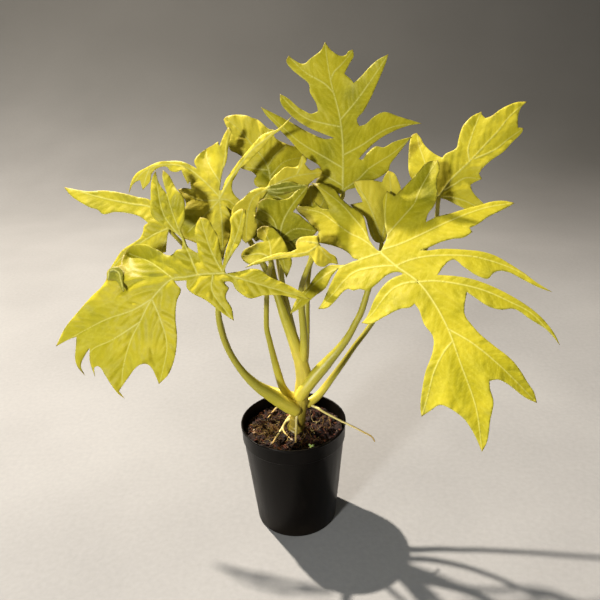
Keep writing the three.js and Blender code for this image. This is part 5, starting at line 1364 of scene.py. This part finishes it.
def makeFibres(material):
    settings = chipSettings["fibres"]
    rng = random.Random(settings["seed"])
    parts, tones = [], []
    while len(parts) < settings["count"]:
        if len(parts) < settings["count"] * settings["drift"]:  # a drift of them lies to the left of the stem
            x, y = rng.gauss(*settings["driftAcross"]), rng.gauss(*settings["driftDeep"])
        else:
            x, y = rng.uniform(*settings["strewn"]), rng.uniform(*settings["strewn"])
        length, radius = rng.uniform(*settings["long"]), rng.uniform(*settings["radius"])
        heading = rng.uniform(0, 6.28)
        away = math.hypot(x, y)
        if away + length / 2 > settings["reach"] or away < settings["clearOfStem"]:
            continue
        bend, course = rng.gauss(0, settings["bend"]), []
        spot = np.array([x, y]) - length / 2 * np.array([math.cos(heading), math.sin(heading)])
        for step in range(6):
            loose = rng.uniform(0, 1.4) if step in (0, 5) else 0.3  # the ends stand up a little
            course.append([*spot, onSoil(*spot) + radius + settings["lift"] + loose,
                           radius * (1 - settings["taper"] * step)])
            heading += bend + rng.gauss(0, settings["bend"])
            spot = spot + length / 5 * np.array([math.cos(heading), math.sin(heading)])
        smooth, run = smoothCourse(course, 2.0, 3)
        parts.append(tubeMesh(smooth, run, 5))
        tones += [rng.random()] * len(parts[-1][0])
    points, faces, skin = joinMeshes(parts)
    piece = addPiece("coir_fibres", points, faces, material, {"age": tones, "skin": skin})
    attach(piece, "root")


# Bark and coir: dry broken wood, each bit of its own shade, matt with a grain along it
def brokenBark(name, tones):
    material, tree, place = newMaterial(name)
    bit = addNode(tree, "Attribute", {"attribute_name": "age"}).outputs["Fac"]
    grain = addNode(tree, "TexNoise", {"Scale": 600.0, "Detail": 5.0, "Distortion": 1.5}, {"Vector": place})
    shade = addNode(tree, "ValToRGB", {"stops": tones}, {0: bit})
    dark = addNode(tree, "MapRange", {"From Min": 0.3, "From Max": 0.7, "To Min": 0.65, "To Max": 0.0},
                   {"Value": grain})
    colour = addNode(tree, "Mix", {"data_type": "RGBA", 7: "#1B100B"}, {0: dark, 6: shade})
    bump = addNode(tree, "Bump", {"Strength": 0.6, "Distance": 0.0005}, {"Height": grain})
    roughness = addNode(tree, "MapRange", {"To Min": 0.65, "To Max": 0.95}, {"Value": grain})
    shader = addNode(tree, "BsdfPrincipled", {"Specular IOR Level": 0.3},
                     {"Base Color": colour.outputs[2], "Roughness": roughness, "Normal": bump})
    addNode(tree, "OutputMaterial", {}, {"Surface": shader})
    return material


# Metres, and degrees for smoothUpTo
floorSettings = {"size": 8, "middle": (0, -1.4, 0), "wall": 4, "sweep": 1.2, "steps": 24, "smoothUpTo": 30}


# Pale screed that sweeps up into a wall behind, with painted shade that darkens it the farther back
def makeFloor():
    settings = floorSettings
    material, tree, place = newMaterial("screed floor, pale and matt")
    clouds = addNode(tree, "TexNoise", {"Scale": 3.0, "Detail": 6.0}, {"Vector": place})
    grit = addNode(tree, "TexNoise", {"Scale": 160.0, "Detail": 5.0}, {"Vector": place})
    mixed = addNode(tree, "Mix", {"data_type": "FLOAT", 0: 0.3}, {2: clouds, 3: grit})
    pale = addNode(tree, "ValToRGB", {"stops": [(0.35, "#868789"), (0.65, "#949597")]}, {0: mixed})
    away = addNode(tree, "VectorMath", {"operation": "DOT_PRODUCT", 1: (0.35, 1.0, 0.5)}, {0: place})
    # Painted shade: the floor's colour darkens towards the back, as if less light reached it
    paintedDimming = addNode(tree, "MapRange", {
        "interpolation_type": "SMOOTHSTEP", "From Min": 0.0, "From Max": 2.6, "To Min": 0.0,
        "To Max": 0.9}, {"Value": away.outputs["Value"]})
    colour = addNode(tree, "Mix", {"data_type": "RGBA", 7: "#343432"}, {0: paintedDimming, 6: pale})
    bump = addNode(tree, "Bump", {"Strength": 0.2, "Distance": 0.001}, {"Height": grit})
    shader = addNode(tree, "BsdfPrincipled", {"Roughness": 0.8, "Specular IOR Level": 0.3},
                     {"Base Color": colour.outputs[2], "Normal": bump})
    addNode(tree, "OutputMaterial", {}, {"Surface": shader})
    deselectAll()
    bpy.ops.mesh.primitive_plane_add(size=settings["size"], location=settings["middle"])
    floor = bpy.context.object
    floor.name = "studio_floor"
    floor.data.materials.append(material)
    for edge in floor.data.edges:
        edge.select = all(floor.data.vertices[i].co.y > 0 for i in edge.vertices)
    bpy.ops.object.mode_set(mode="EDIT")
    bpy.ops.mesh.select_mode(type="EDGE")
    bpy.ops.mesh.extrude_region_move(TRANSFORM_OT_translate={"value": (0, 0, settings["wall"])})
    bpy.ops.object.mode_set(mode="OBJECT")
    bpy.ops.object.transform_apply(location=True)
    sweep = floor.modifiers.new("sweep", "BEVEL")
    sweep.width, sweep.segments, sweep.limit_method = settings["sweep"], settings["steps"], "ANGLE"
    bpy.ops.object.modifier_apply(modifier=sweep.name)
    bpy.ops.object.shade_smooth_by_angle(angle=math.radians(settings["smoothUpTo"]))


# Millimetres. width and rise are shares of a leaf's length. leaves: heading in degrees, length.
seedlingSettings = {
    "spot": (311, 448), "height": 5.0, "radius": 0.35,
    "leaves": [(20, 4.2), (150, 3.8), (250, 4.6), (310, 3.2)],
    "width": 0.55, "thickness": 0.3, "rise": 0.5, "droop": 0.35, "cup": 0.25,
    "rows": 9, "columns": (-1, -0.5, 0, 0.5, 1),
}


# A weed seedling: a thread of a stem with a few small round leaves
def makeSeedling(material):
    settings = seedlingSettings
    foot = atHeights([settings["spot"]], [119.0])[0]
    foot[2] = onSoil(foot[0], foot[1]) - 0.5
    top = foot + (0.6, -0.4, settings["height"] + 0.5)
    bent = (foot + top) / 2 + (0.3, 0, 0)
    course, run = smoothCourse([[*point, settings["radius"]] for point in (foot, bent, top)], 0.5, 3)
    parts = [tubeMesh(course, run, 8)]
    rows, wide = settings["rows"], len(settings["columns"])
    layer = rows * wide
    for heading, length in settings["leaves"]:
        sine, cosine = sinCos(heading)
        points, faces = [], []
        for level in (0.5, -0.5):
            for along in np.linspace(0, 1, rows):
                half = settings["width"] * length / 2 * math.sin(math.pi * along ** 0.8) ** 0.7 + 0.08
                for across in settings["columns"]:
                    out, side = along * length, across * half
                    high = (settings["rise"] - settings["droop"] * along) * out + settings["cup"] * abs(side)
                    points.append(top + (cosine * out - sine * side, sine * out + cosine * side,
                                         high + level * settings["thickness"]))
        for i in range(rows - 1):
            for j in range(wide - 1):
                a = i * wide + j
                faces.append((a, a + wide, a + wide + 1, a + 1))
                faces.append((layer + a, layer + a + 1, layer + a + wide + 1, layer + a + wide))
        rim = [wide * i for i in range(rows)] + [layer - wide + j for j in range(1, wide)]
        rim += [wide * i + wide - 1 for i in range(rows - 2, -1, -1)] + list(range(wide - 2, 0, -1))
        for a, b in zip(rim, rim[1:] + rim[:1]):
            faces.append((b, a, a + layer, b + layer))
        parts.append((np.array(points), faces, np.full((len(points), 3), length)))
    points, faces, skin = joinMeshes(parts)
    piece = addPiece("weed_seedling", points, faces, material, {"skin": skin, "age": skin[:, 2] / 9})
    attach(piece, "root")


# The main light comes from high up behind on the left. Metres and watts.
lightSettings = {
    "key": {"from": (-1.3, 1.42, 2.8), "size": 0.1, "power": 280, "colour": "#FFF2E0"},
    "fill": {"from": (-1.5, -2.3, 1.0), "size": 0.4, "power": 84, "colour": "#FFFEF8"},
    "top": {"from": (1.2, 0.4, 2.6), "size": 2.2, "power": 5, "colour": "#FFFFFF"},
    "aim": (0.0, 0.0, 0.26),
    "room": ("#DADDE4", 0.07),
}


def makeLights():
    for name in ("key", "fill", "top"):
        settings = lightSettings[name]
        lamp = bpy.data.lights.new(name, "AREA")
        lamp.shape, lamp.size, lamp.energy = "DISK", settings["size"], settings["power"]
        lamp.color = linear(settings["colour"])[:3]
        light = bpy.data.objects.new(name, lamp)
        light.location = settings["from"]
        towards = Vector(lightSettings["aim"]) - light.location
        light.rotation_euler = towards.to_track_quat("-Z", "Y").to_euler()
        bpy.context.scene.collection.objects.link(light)
    world = bpy.data.worlds.new("room")
    world.use_nodes = True
    colour, strength = lightSettings["room"]
    world.node_tree.nodes["Background"].inputs["Color"].default_value = linear(colour)
    world.node_tree.nodes["Background"].inputs["Strength"].default_value = strength
    bpy.context.scene.world = world


def makeCamera():
    sinPitch, cosPitch = sinCos(sight["pitch"])
    sinRoll, cosRoll = sinCos(sight["roll"])
    right, up = Vector((1, 0, 0)), Vector((0, sinPitch, cosPitch))
    across = right * cosRoll - up * sinRoll
    upwards = right * sinRoll + up * cosRoll
    back = Vector((0, -cosPitch, sinPitch))
    data = bpy.data.cameras.new("camera")
    data.sensor_width = 36
    data.lens = data.sensor_width * sight["focal"] / sight["view"]
    data.clip_end = 60
    camera = bpy.data.objects.new("camera", data)
    turn = Matrix((across, upwards, back)).transposed().to_4x4()
    camera.matrix_world = Matrix.Translation(Vector(sight["eye"]) / 1000) @ turn
    bpy.context.scene.collection.objects.link(camera)
    bpy.context.scene.camera = camera


makeCamera()
makeLights()
makeFloor()
bpy.context.scene.view_settings.view_transform = "Standard"
print("camera, lights and floor are set")

makePot(mouldedPolypropylene())
makeSoil(pottingMix())
makeChips(brokenBark("pine bark, broken", [
    (0.0, "#0C0503"), (0.4, "#1C0B06"), (0.68, "#3A150A"), (0.86, "#602B13"), (0.96, "#8A5530"),
    (1.0, "#C8B898")]))
makeSeedling(leafStalk("seedling leaf, soft green", [
    (0.0, "#6E8438"), (0.5, "#5A7030"), (1.0, "#3E5420")], 0.0))
makeFibres(brokenBark("coir fibre, dry", [
    (0.0, "#3A2010"), (0.4, "#64421E"), (0.75, "#8C6E30"), (1.0, "#B8A468")]))
print("pot, mix and bits are made")

makeStem(leafStalk("stem, young bark", [
    (0.0, "#D4C246"), (0.4, "#A69534"), (0.7, "#6C5C22"), (1.0, "#443617")], 0.15))
makeRoots(leafStalk("aerial root, corky", [(0.0, "#CDBE78"), (0.5, "#BFA25E"), (1.0, "#805E30")], 0.1))
stalkSkin = leafStalk("leaf stalk, smooth and waxy", [
    (0.0, "#DCC84A"), (0.4, "#AEA432"), (0.75, "#847F22"), (1.0, "#67691A")], 0.3)
leafSkin = philodendronLeaf()
for number, (name, leaf) in enumerate(leafShapes.items()):
    makeStalk(number, name, leaf, stalkSkin)
    blade = makeBlade(number, name, "blade_" + name, leaf, leafLooks[name], leafSkin)
    print("leaf", name, len(blade.data.polygons), "faces")
for number, (name, lobe) in enumerate(smallLobes.items()):
    makeBlade(20 + number, name, "blade_" + lobe["leaf"], lobe, lobe, leafSkin)
print(len(smallLobes), "small lobes are made")
